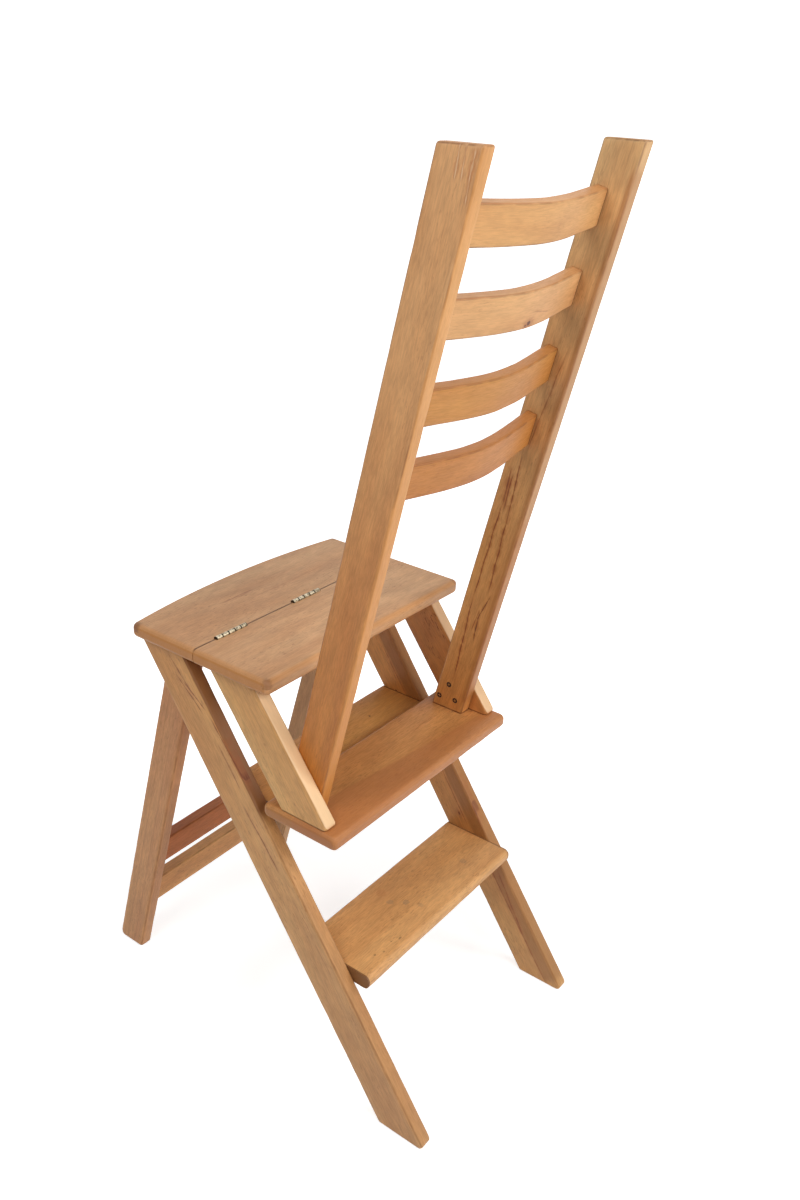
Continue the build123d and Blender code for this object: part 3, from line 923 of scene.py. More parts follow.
@dataclass(frozen=True)
class MetalFinish:
    """Worn metal of a hinge or screw."""

    bright: Colour
    tarnish: Colour
    tarnish_share: float = 0.8
    metallic: float = 1.0
    roughness: float = 0.32

    def material(self, name: str, shop: Workshop, barrel_start: float | None = None) -> bpy.types.Material:
        """Build the metal's material.

        Args:
            name: The material's name.
            shop: The shared node groups.
            barrel_start: X where a hinge barrel's first knuckle starts, or None where there is no barrel.

        Returns:
            The material.
        """
        made = bpy.data.materials.new(name)
        bench = fresh_bench(made)
        point = bench.point()
        old = bench.group(shop.patina, {"Point": point, "Amount": self.tarnish_share})
        colour = bench.mix(old["Tarnish"], self.bright, self.tarnish)
        if barrel_start is not None:
            x, _, z = bench.split(point)
            turn = bench.math("FRACT", bench.over(bench.minus(x, barrel_start), KNUCKLE_PITCH))
            # Painted shade: dark bands on the barrel where the knuckles part.
            gap = bench.ramp(bench.size(bench.minus(turn, 0.5)), 0.34, 0.46)
            barrel = bench.ramp(z, BARREL_FOOT, BARREL_FOOT + BARREL_RISE)
            colour = bench.mix(bench.times(gap, barrel), colour, KNUCKLE_SLIT_SHADE)
            colour = bench.mix(bench.minus(1.0, barrel), colour, LEAF_METAL)
        bench.surface({
            "Base Color": colour, "Metallic": self.metallic,
            "Roughness": bench.ramp(old["Tarnish"], 0.0, 1.0, self.roughness, self.roughness + 0.3),
            "Normal": bench.bump(old["Scratch"], 0.2, 0.0001),
        })
        return made


def add_object(name: str, data: bpy.types.ID) -> bpy.types.Object:
    """Add an object with its data to the scene.

    Args:
        name: Its name.
        data: Its mesh, lamp or camera.

    Returns:
        The object.
    """
    made = bpy.data.objects.new(name, data)
    bpy.context.scene.collection.objects.link(made)
    return made


def mesh_object(name: str, made: bmesh.types.BMesh) -> bpy.types.Object:
    """Turn mesh code's result into a smooth-shaded object.

    Args:
        name: Its name.
        made: The faces, which are freed.

    Returns:
        The object.
    """
    bmesh.ops.recalc_face_normals(made, faces=made.faces)
    for face in made.faces:
        face.smooth = True
    mesh = bpy.data.meshes.new(name)
    made.to_mesh(mesh)
    made.free()
    return add_object(name, mesh)


@dataclass(frozen=True)
class Station:
    """One section of a board: its middle, its steps per metre of width and thickness, and its insets."""

    middle: Vector
    width_step: Vector
    thick_step: Vector
    front_inset: float = 0.0
    rear_inset: float = 0.0
    face_inset: float = 0.0


CORNER_STEPS = 5
WIDE_STEPS = 9
NARROW_STEPS = 3
END_STEPS = 6
STATION_PITCH = 0.007
PLANING = 0.00016
PLANING_WAVES = 23.0
RUBBING = 0.0007
RUBBING_PATCHES = 31.0
RUBBING_SHIFT = Vector((5.0, 2.0, 8.0))
DIAGONAL = 0.7071
FULLEST_ROUND = 0.98
FOOT_STEPS = (0.0, 0.0004, 0.001, 0.002, 0.003, 0.0045, 0.006, 0.008, 0.010, 0.012, 0.015)


@dataclass
class Timber:
    """A board lofted through its stations, with planed faces and rubbed edges."""

    name: str
    half_width: float
    half_thickness: float
    front_easing: float
    rear_easing: float
    stations: list[Station]

    def loop(self, station: Station) -> list[tuple[float, float, float, float]]:
        """Points round one section.

        Args:
            station: The section.

        Returns:
            Width place, thickness place and the outward direction at each point.
        """
        low = -self.half_width + station.front_inset
        high = self.half_width - station.rear_inset
        deep = self.half_thickness - station.face_inset
        corners = (
            (low, -deep, 1, 1, self.front_easing, math.pi),
            (high, -deep, -1, 1, self.rear_easing, 1.5 * math.pi),
            (high, deep, -1, -1, self.rear_easing, 0.0),
            (low, deep, 1, -1, self.front_easing, 0.5 * math.pi),
        )
        arcs = []
        for width, thick, inward, up, easing, start in corners:
            radius = min(easing, deep * FULLEST_ROUND)
            centre = (width + inward * radius, thick + up * radius)
            arc = []
            for step in range(CORNER_STEPS + 1):
                angle = start + step * math.pi / 2 / CORNER_STEPS
                out = (math.cos(angle), math.sin(angle))
                arc.append((centre[0] + radius * out[0], centre[1] + radius * out[1], *out))
            arcs.append(arc)
        points = []
        for index, arc in enumerate(arcs):
            points.extend(arc)
            start, end = arc[-1], arcs[(index + 1) % 4][0]
            steps = WIDE_STEPS if index % 2 == 0 else NARROW_STEPS
            for step in range(1, steps):
                width, thick = (start[axis] + (end[axis] - start[axis]) * (step / steps) for axis in (0, 1))
                points.append((width, thick, start[2], start[3]))
        return points

    def worn(self, point: Vector, out: tuple[float, float]) -> float:
        """How far wear and the plane have taken a point inward.

        Args:
            point: The point on the sharp board.
            out: The outward direction there, in width and thickness.

        Returns:
            The distance.
        """
        planed = PLANING * (0.5 + 0.5 * noise.noise(point * PLANING_WAVES))
        corner = min(abs(out[0]), abs(out[1])) / DIAGONAL
        rubbed = RUBBING * corner * max(0.0, noise.noise(point * RUBBING_PATCHES + RUBBING_SHIFT))
        return planed + rubbed

    def build(self) -> bpy.types.Object:
        """Make the board's mesh object.

        Returns:
            The object, in the row frame.
        """
        made = bmesh.new()
        rings = []
        for station in self.stations:
            ring = []
            for width, thick, out_width, out_thick in self.loop(station):
                point = station.middle + station.width_step * width + station.thick_step * thick
                cut = self.worn(point, (out_width, out_thick))
                point -= (station.width_step * out_width + station.thick_step * out_thick) * cut
                ring.append(made.verts.new(point))
            rings.append(ring)
        for first, second in zip(rings, rings[1:]):
            for index in range(len(first)):
                after = (index + 1) % len(first)
                made.faces.new((first[index], first[after], second[after], second[index]))
        for ring in (rings[0], rings[-1]):
            made.faces.new(ring)
            for corner, after in zip(ring, ring[1:] + ring[:1]):
                made.edges.get((corner, after)).smooth = False
        return mesh_object(self.name, made)


def end_distances(radius: float) -> list[float]:
    """Distances from a rounded end where a board gets a section, from the end inward."""
    return [radius * (1 - math.cos(step * math.pi / 2 / END_STEPS)) for step in range(END_STEPS + 1)]


def round_inset(distance: float, radius: float) -> float:
    """Inset of a face near a rounded end.

    Args:
        distance: Distance from the end.
        radius: The end's rounding.

    Returns:
        The inset in metres.
    """
    if distance >= radius:
        return 0.0
    return radius - math.sqrt(max(radius ** 2 - (radius - distance) ** 2, 0.0))


def rounded_foot(height: float, radius: float, run: float, rise: float, rear: bool) -> float:
    """Level inset of a slanted edge where its foot corner is rounded.

    Args:
        height: Height above the cut end.
        radius: The corner's rounding.
        run: How far the edge travels to the rear from its top to its foot.
        rise: How far it falls.
        rear: True for the rear edge, False for the front edge.

    Returns:
        The inset in metres.
    """
    hyp = math.hypot(run, rise)
    side = 1.0 if rear else -1.0
    tangent = radius + side * radius * run / hyp
    if height >= tangent or radius <= 0.0:
        return 0.0
    centre = -side * radius * (hyp + side * run) / rise
    round_edge = centre + side * math.sqrt(max(radius ** 2 - (height - radius) ** 2, 0.0))
    straight = -height * run / rise
    return abs(straight - round_edge)


class Shape(Protocol):
    """A board's shape, which says where the board lies and how it is lofted."""

    def space(self) -> BoardSpace:
        """Where the board lies."""

    def timber(self, name: str) -> Timber:
        """The board's loft."""


@dataclass(frozen=True)
class SlantedShape:
    """A slanted board with level ends, given by its front edge's places from the hinge line.

    It is on the left of the chair where its side is 1, and on the right where it is -1.
    """

    top_y: float
    top_z: float
    foot_y: float
    foot_z: float
    stock: float
    inner_x: float
    easing: float = 0.0035
    foot_front: float = 0.0
    foot_rear: float = 0.0
    top_easing: float = 0.0
    side: int = 1

    @property
    def run(self) -> float:
        """How far the board travels to the rear from its top to its foot."""
        return self.foot_y - self.top_y

    @property
    def rise(self) -> float:
        """How far it falls."""
        return self.top_z - self.foot_z

    @property
    def level(self) -> float:
        """Its level width for each metre of its width."""
        return math.hypot(self.run, self.rise) / self.rise

    @property
    def middle_x(self) -> float:
        """Where the middle of its thickness is."""
        return self.side * (self.inner_x + BOARD / 2)

    def front_y(self, z: float) -> float:
        """Y of its front edge at a height, from the hinge line."""
        return self.top_y + self.run * (self.top_z - z) / self.rise

    def space(self) -> BoardSpace:
        """Where the board lies."""
        run, rise = self.run, self.rise
        hyp = math.hypot(run, rise)
        middle_y = (self.top_y + self.foot_y) / 2 + self.stock * hyp / rise / 2
        return BoardSpace(
            Vector((self.middle_x, HINGE.y + middle_y, (self.top_z + self.foot_z) / 2)),
            Vector((self.side, 0, 0)), Vector((0, rise / hyp, run / hyp)),
            Vector((0, run / hyp, -rise / hyp)),
            BOARD / 2, self.stock / 2, hyp / 2, end_slope=run / rise,
        )

    def heights(self) -> list[float]:
        """Heights of the board's sections, from its top to its foot."""
        top = [self.top_z - distance for distance in end_distances(self.top_easing)]
        top = top if self.top_easing else top[:1]
        low = [self.foot_z + offset for offset in reversed(FOOT_STEPS)]
        count = max(2, int((top[-1] - low[0]) / STATION_PITCH))
        between = [top[-1] + (low[0] - top[-1]) * step / count for step in range(1, count)]
        return top + between + low

    def timber(self, name: str) -> Timber:
        """The board's loft.

        Args:
            name: The mesh object's name.

        Returns:
            The loft.
        """
        stations = []
        for z in self.heights():
            above = z - self.foot_z
            face = round_inset(self.top_z - z, self.top_easing)
            foot = round_inset(above, self.easing) if self.foot_front else 0.0
            front, rear = (
                rounded_foot(above, radius, self.run, self.rise, is_rear) / self.level + face * 0.5
                for radius, is_rear in ((self.foot_front, False), (self.foot_rear, True))
            )
            middle = Vector((self.middle_x, HINGE.y + self.front_y(z) + self.stock * self.level / 2, z))
            width_step, thick_step = Vector((0, self.level, 0)), Vector((self.side, 0, 0))
            stations.append(Station(middle, width_step, thick_step, front, rear, max(face, foot)))
        return Timber(name, self.stock / 2, BOARD / 2, self.easing, self.easing, stations)


@dataclass(frozen=True)
class LevelShape:
    """A level board whose grain runs across the chair."""

    half_length: float
    front_y: float
    depth: float
    top_z: float
    thickness: float = BOARD
    front_easing: float = 0.0025
    rear_easing: float = 0.0025
    end_easing: float = 0.0
    corner_easing: float = 0.0

    def space(self) -> BoardSpace:
        """Where the board lies."""
        origin = Vector((0, HINGE.y + self.front_y + self.depth / 2, self.top_z - self.thickness / 2))
        return BoardSpace(
            origin, Vector((0, 0, 1)), Vector((0, 1, 0)), Vector((1, 0, 0)),
            self.thickness / 2, self.depth / 2, self.half_length,
        )

    def timber(self, name: str) -> Timber:
        """The board's loft.

        Args:
            name: The mesh object's name.

        Returns:
            The loft.
        """
        middle = self.space().origin
        ends = end_distances(max(self.end_easing, self.corner_easing)) if self.end_easing else [0.0]
        count = int(self.half_length * 2 / STATION_PITCH)
        inner = self.half_length - ends[-1]
        places = [-self.half_length + distance for distance in ends]
        places += [-inner + 2 * inner * step / count for step in range(1, count)]
        places += [self.half_length - distance for distance in reversed(ends)]
        stations = []
        for x in places:
            end = self.half_length - abs(x)
            corner = round_inset(end, self.corner_easing)
            stations.append(Station(
                Vector((x, middle.y, middle.z)), Vector((0, 1, 0)), Vector((0, 0, 1)),
                corner, corner, round_inset(end, self.end_easing),
            ))
        return Timber(name, self.depth / 2, self.thickness / 2, self.front_easing, self.rear_easing, stations)


@dataclass(frozen=True)
class SlatShape:
    """A bowed slat, square to the stiles' slope."""

    foot: Vector
    lean: float
    up_stile: float = 0.0
    half_span: float = STILE_FACE
    height: float = 0.043
    thickness: float = 0.016
    bow: float = 0.0207
    end_rise: float = 0.0076
    setback: float = 0.0088
    easing: float = 0.002

    @property
    def rearward(self) -> Vector:
        """Square to the stiles, to the rear."""
        return Vector((0, math.cos(self.lean), -math.sin(self.lean)))

    @property
    def upward(self) -> Vector:
        """Up along the stiles."""
        return Vector((0, math.sin(self.lean), math.cos(self.lean)))

    def space(self) -> BoardSpace:
        """Where the slat lies, its bow taken out."""
        setback = self.rearward * (self.setback + self.thickness / 2)
        origin = self.foot + setback + self.upward * (self.up_stile + self.height / 2)
        return BoardSpace(
            origin, self.rearward, self.upward, Vector((1, 0, 0)),
            self.thickness / 2, self.height / 2, self.half_span, bow=self.bow, end_rise=self.end_rise,
        )

    def timber(self, name: str) -> Timber:
        """The slat's loft along its bow.

        Args:
            name: The mesh object's name.

        Returns:
            The loft.
        """
        space = self.space()
        count = int(self.half_span * 2 / STATION_PITCH)
        stations = []
        for step in range(count + 1):
            x = -self.half_span + 2 * self.half_span * step / count
            middle = space.origin + Vector((x, 0, 0)) + self.rearward * space.sag(x)
            stations.append(Station(middle, self.upward, self.rearward))
        return Timber(name, self.height / 2, self.thickness / 2, self.easing, self.easing, stations)


@dataclass(frozen=True)
class Board:
    """A remade board: the node that it stands for, its shape, its finish and its marks."""

    node: str
    shape: Shape
    finish: BeechFinish
    marks: Sequence[Mark] = ()

    def build(self, body: Body, slot: Slot, shop: Workshop) -> None:
        """Build and dress the board.

        Args:
            body: The body that it rides on.
            slot: The record's slot of its finish; not used.
            shop: The shared node groups.
        """
        piece = self.shape.timber(f"{self.node}_timber").build()
        material = self.finish.material(f"beech_{self.node}", self.shape.space(), self.marks, shop)
        piece.data.materials.append(material)
        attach(piece, body.value)
        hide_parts(self.node)
        low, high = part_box(self.node)
        points = [vertex.co for vertex in piece.data.vertices]
        off = max(
            max(abs(min(p[axis] for p in points) - low[axis]), abs(max(p[axis] for p in points) - high[axis]))
            for axis in range(3)
        )
        log.info("%s stands for %s, boxes differ by up to %.2f mm", piece.name, self.node, off * 1000)


def dress(node: str, material: bpy.types.Material) -> None:
    """Give a carried-over CAD node its material.

    Args:
        node: The node.
        material: Its finish.
    """
    piece = frame["nodes"][node]
    if not piece.material_slots:
        piece.data.materials.append(material)
    for slot in piece.material_slots:
        slot.material = material
    log.info("dressed %s", node)


@dataclass
class Seat:
    """The two halves of the seat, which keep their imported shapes."""

    half_width: float = 0.2005
    front_depth: float = 0.129
    rear_depth: float = 0.124
    past_seam: float = 0.030
    finish: BeechFinish = BeechFinish(
        SEAT_TONE, Sawn.FLAT, edge_reach=0.010, arris=SEAT_ARRIS, end=SEAT_END, foot_line=0.0, dark_arris=0.2,
        top_tone_and_light=SEAT_TONE_AND_LIGHT,
    )

    def build(self, shop: Workshop) -> None:
        """Dress both halves.

        Args:
            shop: The shared node groups.
        """
        z = SEAT_TOP
        gouge = [
            Mark(MarkKind.STREAK, (0.075, -0.1480, z), 0.0007, (0.024, -0.1492, z), 0.75, 1, 0.002),
            Mark(MarkKind.STREAK, (0.062, -0.1455, z), 0.0008, (0.040, -0.1460, z), 0.35, 1, 0.002),
            Mark(MarkKind.STREAK, (0.050, -0.1290, z), 0.0012, (-0.110, -0.1310, z), 0.20, 1, 0.006),
            Mark(MarkKind.SEAM, (0.0, -0.0807, z), 0.0014, strength=0.60),
        ]
        front_corners = spots(MarkKind.SCUFF, z, (
            (-0.1960, -0.1860, 0.0120, 0.60, 1.0),
            (0.1985, -0.1850, 0.0095, 0.75, 1.0),
        ), SMUDGE)
        seam = [Mark(MarkKind.SEAM, (0.0, -0.0797, z), 0.0014, strength=0.60)]
        rear_corners = spots(MarkKind.SCUFF, z, (
            (0.1960, 0.0400, 0.0090, 0.65, 1.0),
            (-0.1950, 0.0400, 0.0080, 0.40, 1.0),
        ), SMUDGE)
        front = LevelShape(self.half_width, -self.front_depth, self.front_depth + self.past_seam, SEAT_TOP)
        rear = LevelShape(self.half_width, -self.past_seam, self.rear_depth + self.past_seam, SEAT_TOP)
        front_finish = replace(
            self.finish, seed=2.3, ring_pitch=0.009, wander=0.016, ring_strength=0.07, fibre_strength=0.12,
            fleck_strength=0.55,
        )
        rear_finish = replace(
            self.finish, seed=5.1, ring_pitch=0.010, wander=0.014, ring_strength=0.05, fibre_strength=0.10,
            fleck_strength=0.45,
        )
        for half, shape, finish, marks in (
            ("front", front, front_finish, gouge + front_corners),
            ("rear", rear, rear_finish, seam + rear_corners),
        ):
            dress(f"{half}_seat_board", finish.material(f"beech_{half}_seat", shape.space(), marks, shop))


@dataclass
class StandingFrame:
    """The legs, treads and rungs that stay on the floor."""

    rear_leg: SlantedShape = SlantedShape(
        -0.110, SEAT_UNDER, 0.310, 0.0, 0.062, LEG_FACE, foot_front=0.003, foot_rear=0.006
    )
    front_leg: SlantedShape = SlantedShape(
        -0.074, SEAT_UNDER, -0.223, 0.0, 0.047, STILE_FACE, foot_front=0.009, foot_rear=0.003
    )
    tread_depth: float = 0.112
    tread_nose: float = 0.008
    rung_height: float = 0.038
    rung_easing: float = 0.002
    lower_rung_top: float = 0.120
    upper_rung_top: float = 0.205
    rail_front: float = -0.065
    rail_height: float = 0.035

    def build(self, shop: Workshop) -> None:
        """Build and dress the frame's boards.

        Args:
            shop: The shared node groups.
        """
        for board in self.rear_legs() + self.front_legs() + self.treads() + self.rungs():
            board.build(Body.BASE, Slot.FRAME_WOOD, shop)

    def rear_legs(self) -> list[Board]:
        """The long diagonal legs."""
        x = LEG_OUTSIDE
        near_marks = [
            Mark(MarkKind.BAND, (x, -0.1108, 0.5744), 0.0015, (x, 0.0159, 0.3994), 0.85, paint=LEG_SHADE),
            Mark(MarkKind.BAND, (x, 0.0159, 0.3994), 0.0015, (x, 0.2983, 0.0094), 0.22, paint=LEG_SHADE),
            *streaks(x, 1, (
                (-0.1342, 0.5662, -0.1010, 0.5320, 0.0011, 0.80, 0.002),
                (-0.1177, 0.5396, -0.0815, 0.5080, 0.0010, 1.0, 0.002),
                (-0.1050, 0.5340, -0.0790, 0.5160, 0.0009, 1.0, 0.002),
                (-0.0636, 0.5027, 0.0007, 0.4234, 0.0013, 0.85, 0.003),
                (-0.0480, 0.4640, -0.0160, 0.4220, 0.0010, 0.75, 0.003),
                (-0.0068, 0.3926, 0.0514, 0.3220, 0.0013, 0.85, 0.003),
                (0.0600, 0.3150, 0.1500, 0.1900, 0.0012, 0.25, 0.006),
            )),
        ]
        x = -LEG_FACE
        far_marks = [
            Mark(MarkKind.BAND, (x, -0.1000, 0.5219), 0.0050, (x, 0.2700, 0.0110), 0.62, -1, paint=LEG_HEART),
            Mark(MarkKind.NAIL, (x, -0.0335, 0.3992), 0.0022, strength=0.8, face=-1),
            Mark(MarkKind.KNOT, (x, 0.0971, 0.2343), 0.0020, strength=0.7, face=-1, stretch=1.8),
            *streaks(x, -1, (
                (-0.0683, 0.4749, 0.0603, 0.2975, 0.0012, 0.45, 0.004),
                (0.0603, 0.2975, 0.1129, 0.2214, 0.0010, 0.60, 0.002),
                (0.0800, 0.3185, 0.1420, 0.2226, 0.0014, 0.60, 0.003),
                (0.1600, 0.1632, 0.2130, 0.0909, 0.0014, 0.75, 0.002),
                (0.2130, 0.0909, 0.2753, 0.0052, 0.0011, 0.65, 0.002),
                (0.1728, 0.1657, 0.2319, 0.0653, 0.0018, 0.60, 0.002),
            )),
        ]
        # Painted light and tone on the legs: each made brighter or darker from top to foot.
        near = BeechFinish(
            LEG_TONE, Sawn.RIFT, 3.7, 0.0052, 0.010,
            top_tone_and_light=(1.04, 0.94, 0.70), foot_tone_and_light=(0.98, 0.95, 0.88),
        )
        far = BeechFinish(
            LEG_TONE, Sawn.QUARTER, 8.2, 0.0048, 0.012,
            top_tone_and_light=(1.19, 0.95, 0.55), foot_tone_and_light=(0.97, 0.94, 0.80),
        )
        return [
            Board("rear_leg_left", self.rear_leg, near, near_marks),
            Board("rear_leg_right", replace(self.rear_leg, side=-1), far, far_marks),
        ]

    def front_legs(self) -> list[Board]:
        """The short legs, lapped on the diagonal ones."""
        # Painted light and tone on the front legs: the near one painted brighter.
        near = BeechFinish(
            RUNG_TONE, Sawn.QUARTER, 11.4, 0.0075, 0.006, 0.30, top_tone_and_light=(1.13, 1.05, 0.86),
            foot_tone_and_light=(1.10, 1.03, 0.86),
        )
        far = BeechFinish(LEG_TONE, Sawn.RIFT, 14.9, 0.006, 0.01)
        return [
            Board("front_leg_left", self.front_leg, near),
            Board("front_leg_right", replace(self.front_leg, side=-1), far),
        ]

    def tread(self, top_z: float) -> LevelShape:
        """One tread between the rear legs, its rear edge a nose."""
        front = self.rear_leg.front_y(top_z)
        return LevelShape(LEG_FACE, front, self.tread_depth, top_z, rear_easing=self.tread_nose)

    def treads(self) -> list[Board]:
        """Both treads, the lower one stained and with old nail holes."""
        stains = [
            *spots(MarkKind.STAIN, LOWER_TOP, ((0.0297, 0.1009, 0.0090, 0.30, 1.0),), HEART_COLOUR),
            *spots(MarkKind.STAIN, LOWER_TOP, (
                (0.0364, 0.1220, 0.0062, 0.60, 1.0),
                (0.0221, 0.1391, 0.0060, 0.70, 1.0),
                (0.0136, 0.1588, 0.0050, 0.45, 1.0),
                (-0.1039, 0.1503, 0.0064, 0.50, 1.0),
            )),
            *spots(MarkKind.NAIL, LOWER_TOP, (
                (0.1307, 0.1691, 0.0018, 0.45, 1.5),
                (0.1180, 0.1740, 0.0015, 0.40, 1.5),
                (0.0844, 0.1753, 0.0018, 0.45, 1.7),
                (0.0970, 0.1700, 0.0014, 0.40, 1.0),
            )),
        ]
        nail = spots(MarkKind.NAIL, MIDDLE_TOP, ((-0.0839, -0.0181, 0.0020, 0.8, 1.0),))
        # Painted light and shade: the lower tread painted brighter, the middle tread darker and more orange.
        lower = BeechFinish(TREAD_TONE, Sawn.RIFT, 21.3, 0.007, 0.012, butt=0.7, top_tone_and_light=(1.17, 1.19, 1.15))
        middle = BeechFinish(TREAD_TONE, Sawn.RIFT, 24.8, 0.006, 0.012, butt=0.7, top_tone_and_light=(1.00, 0.92, 0.64))
        return [
            Board("lower_tread", self.tread(LOWER_TOP), lower, stains),
            Board("middle_tread", self.tread(MIDDLE_TOP), middle, nail),
        ]

    def rung(self, top_z: float) -> LevelShape:
        """One rung on the front legs' centre line.

        Args:
            top_z: Height of its top.

        Returns:
            Its shape.
        """
        leg = self.front_leg
        middle = leg.front_y(top_z - self.rung_height / 2) + leg.stock * leg.level / 2
        front = middle - BOARD / 2
        return LevelShape(
            STILE_FACE, front, BOARD, top_z, self.rung_height, self.rung_easing, self.rung_easing
        )

    def rungs(self) -> list[Board]:
        """Both rungs and the rail under the seat."""
        line = [Mark(MarkKind.STREAK, (-0.14, 0.0, 0.102), 0.0012, (0.14, 0.0, 0.100), 0.5, wander=0.002)]
        rung = BeechFinish(RUNG_TONE, Sawn.QUARTER, 27.5, 0.005, 0.006, butt=0.7)
        # Painted light and shade: the lower rung painted brighter, the upper rung under the seat painted
        # darker and more orange.
        lower = replace(rung, top_tone_and_light=(1.36, 1.38, 1.16))
        upper = replace(rung, seed=30.1, ring_pitch=0.006, top_tone_and_light=(0.97, 0.57, 0.30))
        easing = self.rung_easing
        rail = LevelShape(
            STILE_FACE, self.rail_front, BOARD, SEAT_UNDER, self.rail_height, easing, easing
        )
        return [
            Board("lower_rung", self.rung(self.lower_rung_top), lower, line),
            Board("upper_rung", self.rung(self.upper_rung_top), upper),
            Board("seat_rail", rail, BeechFinish(RUNG_TONE, Sawn.RIFT, 33.6)),
        ]


@dataclass
class TurningBack:
    """The side pieces, the flip tread, the stiles and the slats that turn over together."""

    side_piece: SlantedShape = SlantedShape(
        0.011, SEAT_UNDER, 0.13505, FLIP_TOP, 0.062, LEG_FACE, foot_rear=0.004
    )
    stile: SlantedShape = SlantedShape(
        0.2975, 1.2003, 0.12605, FLIP_TOP, 0.051, STILE_FACE, easing=0.0034, top_easing=0.0030
    )
    flip_tread: LevelShape = LevelShape(0.193, 0.10905, 0.118, FLIP_TOP, BOARD, 0.0065, 0.0065, 0.0065, 0.006)
    slat_tops: tuple[float, ...] = (0.88038, 0.96543, 1.05821, 1.14857)
    slat_seed: float = 71.0
    seed_step: float = 3.7
    past_arris: float = 0.001
    # Over each slat, the lowest first: mostly painted light, the lower slats painted darker and more orange
    # where less light reaches them.
    slat_tones_and_light: tuple[Colour, ...] = (
        (0.71, 0.51, 0.28), (0.79, 0.65, 0.38), (1.00, 1.02, 1.06), (0.95, 0.94, 0.89)
    )

    def build(self, shop: Workshop) -> None:
        """Build and dress the back.

        Args:
            shop: The shared node groups.
        """
        for board in self.stiles() + self.side_pieces() + self.slats() + [self.step()]:
            board.build(Body.BACK, Slot.BACK_WOOD, shop)

    def step(self) -> Board:
        """The flip tread, with its band of redder heartwood."""
        z = FLIP_TOP
        band = [
            Mark(MarkKind.BAND, (0.200, 0.0765, z), 0.004, (-0.200, 0.1247, z), 0.50),
            Mark(MarkKind.STREAK, (-0.070, 0.0720, z), 0.0014, (-0.115, 0.0700, z), 0.35, 1, 0.004),
        ]
        finish = BeechFinish(
            TREAD_TONE, Sawn.RIFT, 52.2, 0.007, 0.010, 0.09, 0.13, 0.45, edge_reach=0.008, foot_line=0.0,
            top_tone_and_light=FLIP_PAINTED_SHADE,
        )
        return Board("flip_tread", self.flip_tread, finish, band)

    def stiles(self) -> list[Board]:
        """The back's uprights: scuffs at the near one's top, cracks and heart lines on the far one, painted
        light on both rear faces.
        """
        x = STILE_OUTSIDE
        scuffs = [
            *streaks(x, 1, (
                (0.2431, 1.1930, 0.2410, 1.1750, 0.0012, 0.8, 0.002),
                (0.2500, 1.1920, 0.2480, 1.1760, 0.0010, 0.7, 0.002),
                (0.2594, 1.1900, 0.2570, 1.1770, 0.0014, 0.7, 0.002),
                (0.2563, 1.1720, 0.2540, 1.1560, 0.0009, 0.7, 0.002),
            ), SCUFF_COLOUR),
            # Painted light on the near stile's rear narrow face; the list also holds its real scuffs.
            Mark(MarkKind.BAND, (x, 0.2668, 1.1900), 0.0015, (x, 0.0998, 0.4300), 0.45, paint=STILE_PAINTED_LIGHT),
        ]
        x = -STILE_FACE
        dark = [
            Mark(
                MarkKind.BAND, (x, 0.2530, 1.1600), 0.0060, (x, 0.0960, 0.4500), 0.58, -1, paint=STILE_HEART
            ),
            # Painted light on the far stile's rear narrow face.
            Mark(MarkKind.BAND, (x, 0.2668, 1.1900), 0.0015, (x, 0.1700, 0.7450), 0.16, paint=PAINTED_LIGHT_EDGE),
            *streaks(x, -1, (
                (0.1420, 0.7986, 0.1355, 0.7579, 0.0022, 0.90, 0.002),
                (0.1450, 0.7920, 0.1370, 0.7500, 0.0018, 0.85, 0.003),
                (0.1340, 0.7540, 0.1019, 0.6089, 0.0013, 1.0, 0.003),
                (0.1019, 0.6089, 0.0806, 0.4743, 0.0013, 0.95, 0.003),
                (0.1558, 0.8184, 0.1451, 0.7456, 0.0013, 0.95, 0.002),
                (0.1451, 0.7456, 0.1252, 0.6241, 0.0016, 0.95, 0.003),
            )),
            *streaks(x, -1, (
                (0.1263, 0.6125, 0.1133, 0.5824, 0.0009, 1.0, 0.001),
                (0.1133, 0.5824, 0.1086, 0.5504, 0.0012, 1.0, 0.002),
            ), CRACK_COLOUR),
            *streaks(x, -1, (
                (0.1119, 0.5862, 0.1047, 0.5629, 0.0007, 0.80, 0.001),
                (0.2050, 0.9700, 0.1620, 0.8300, 0.0014, 0.50, 0.004),
            )),
        ]
        # Painted light: each stile painted lighter at its top and darker and more orange towards its foot.
        near = BeechFinish(
            STILE_TONE, Sawn.FLAT, 41.6, 0.0055, 0.014, 0.15, 0.13, 0.28, dark_arris=0.75,
            top_tone_and_light=(1.04, 1.11, 1.28), foot_tone_and_light=(0.87, 0.60, 0.25),
        )
        far = BeechFinish(
            STILE_TONE, Sawn.RIFT, 44.3, 0.0050, 0.016, 0.17, 0.13, 0.34, dark_arris=0.75,
            top_tone_and_light=(1.04, 1.20, 1.36), foot_tone_and_light=(0.99, 0.88, 0.66),
        )
        return [
            Board("stile_left", self.stile, near, scuffs),
            Board("stile_right", replace(self.stile, side=-1), far, dark),
        ]

    def side_pieces(self) -> list[Board]:
        """The wide slanted pieces under the rear board, each with painted light on its rear narrow face."""
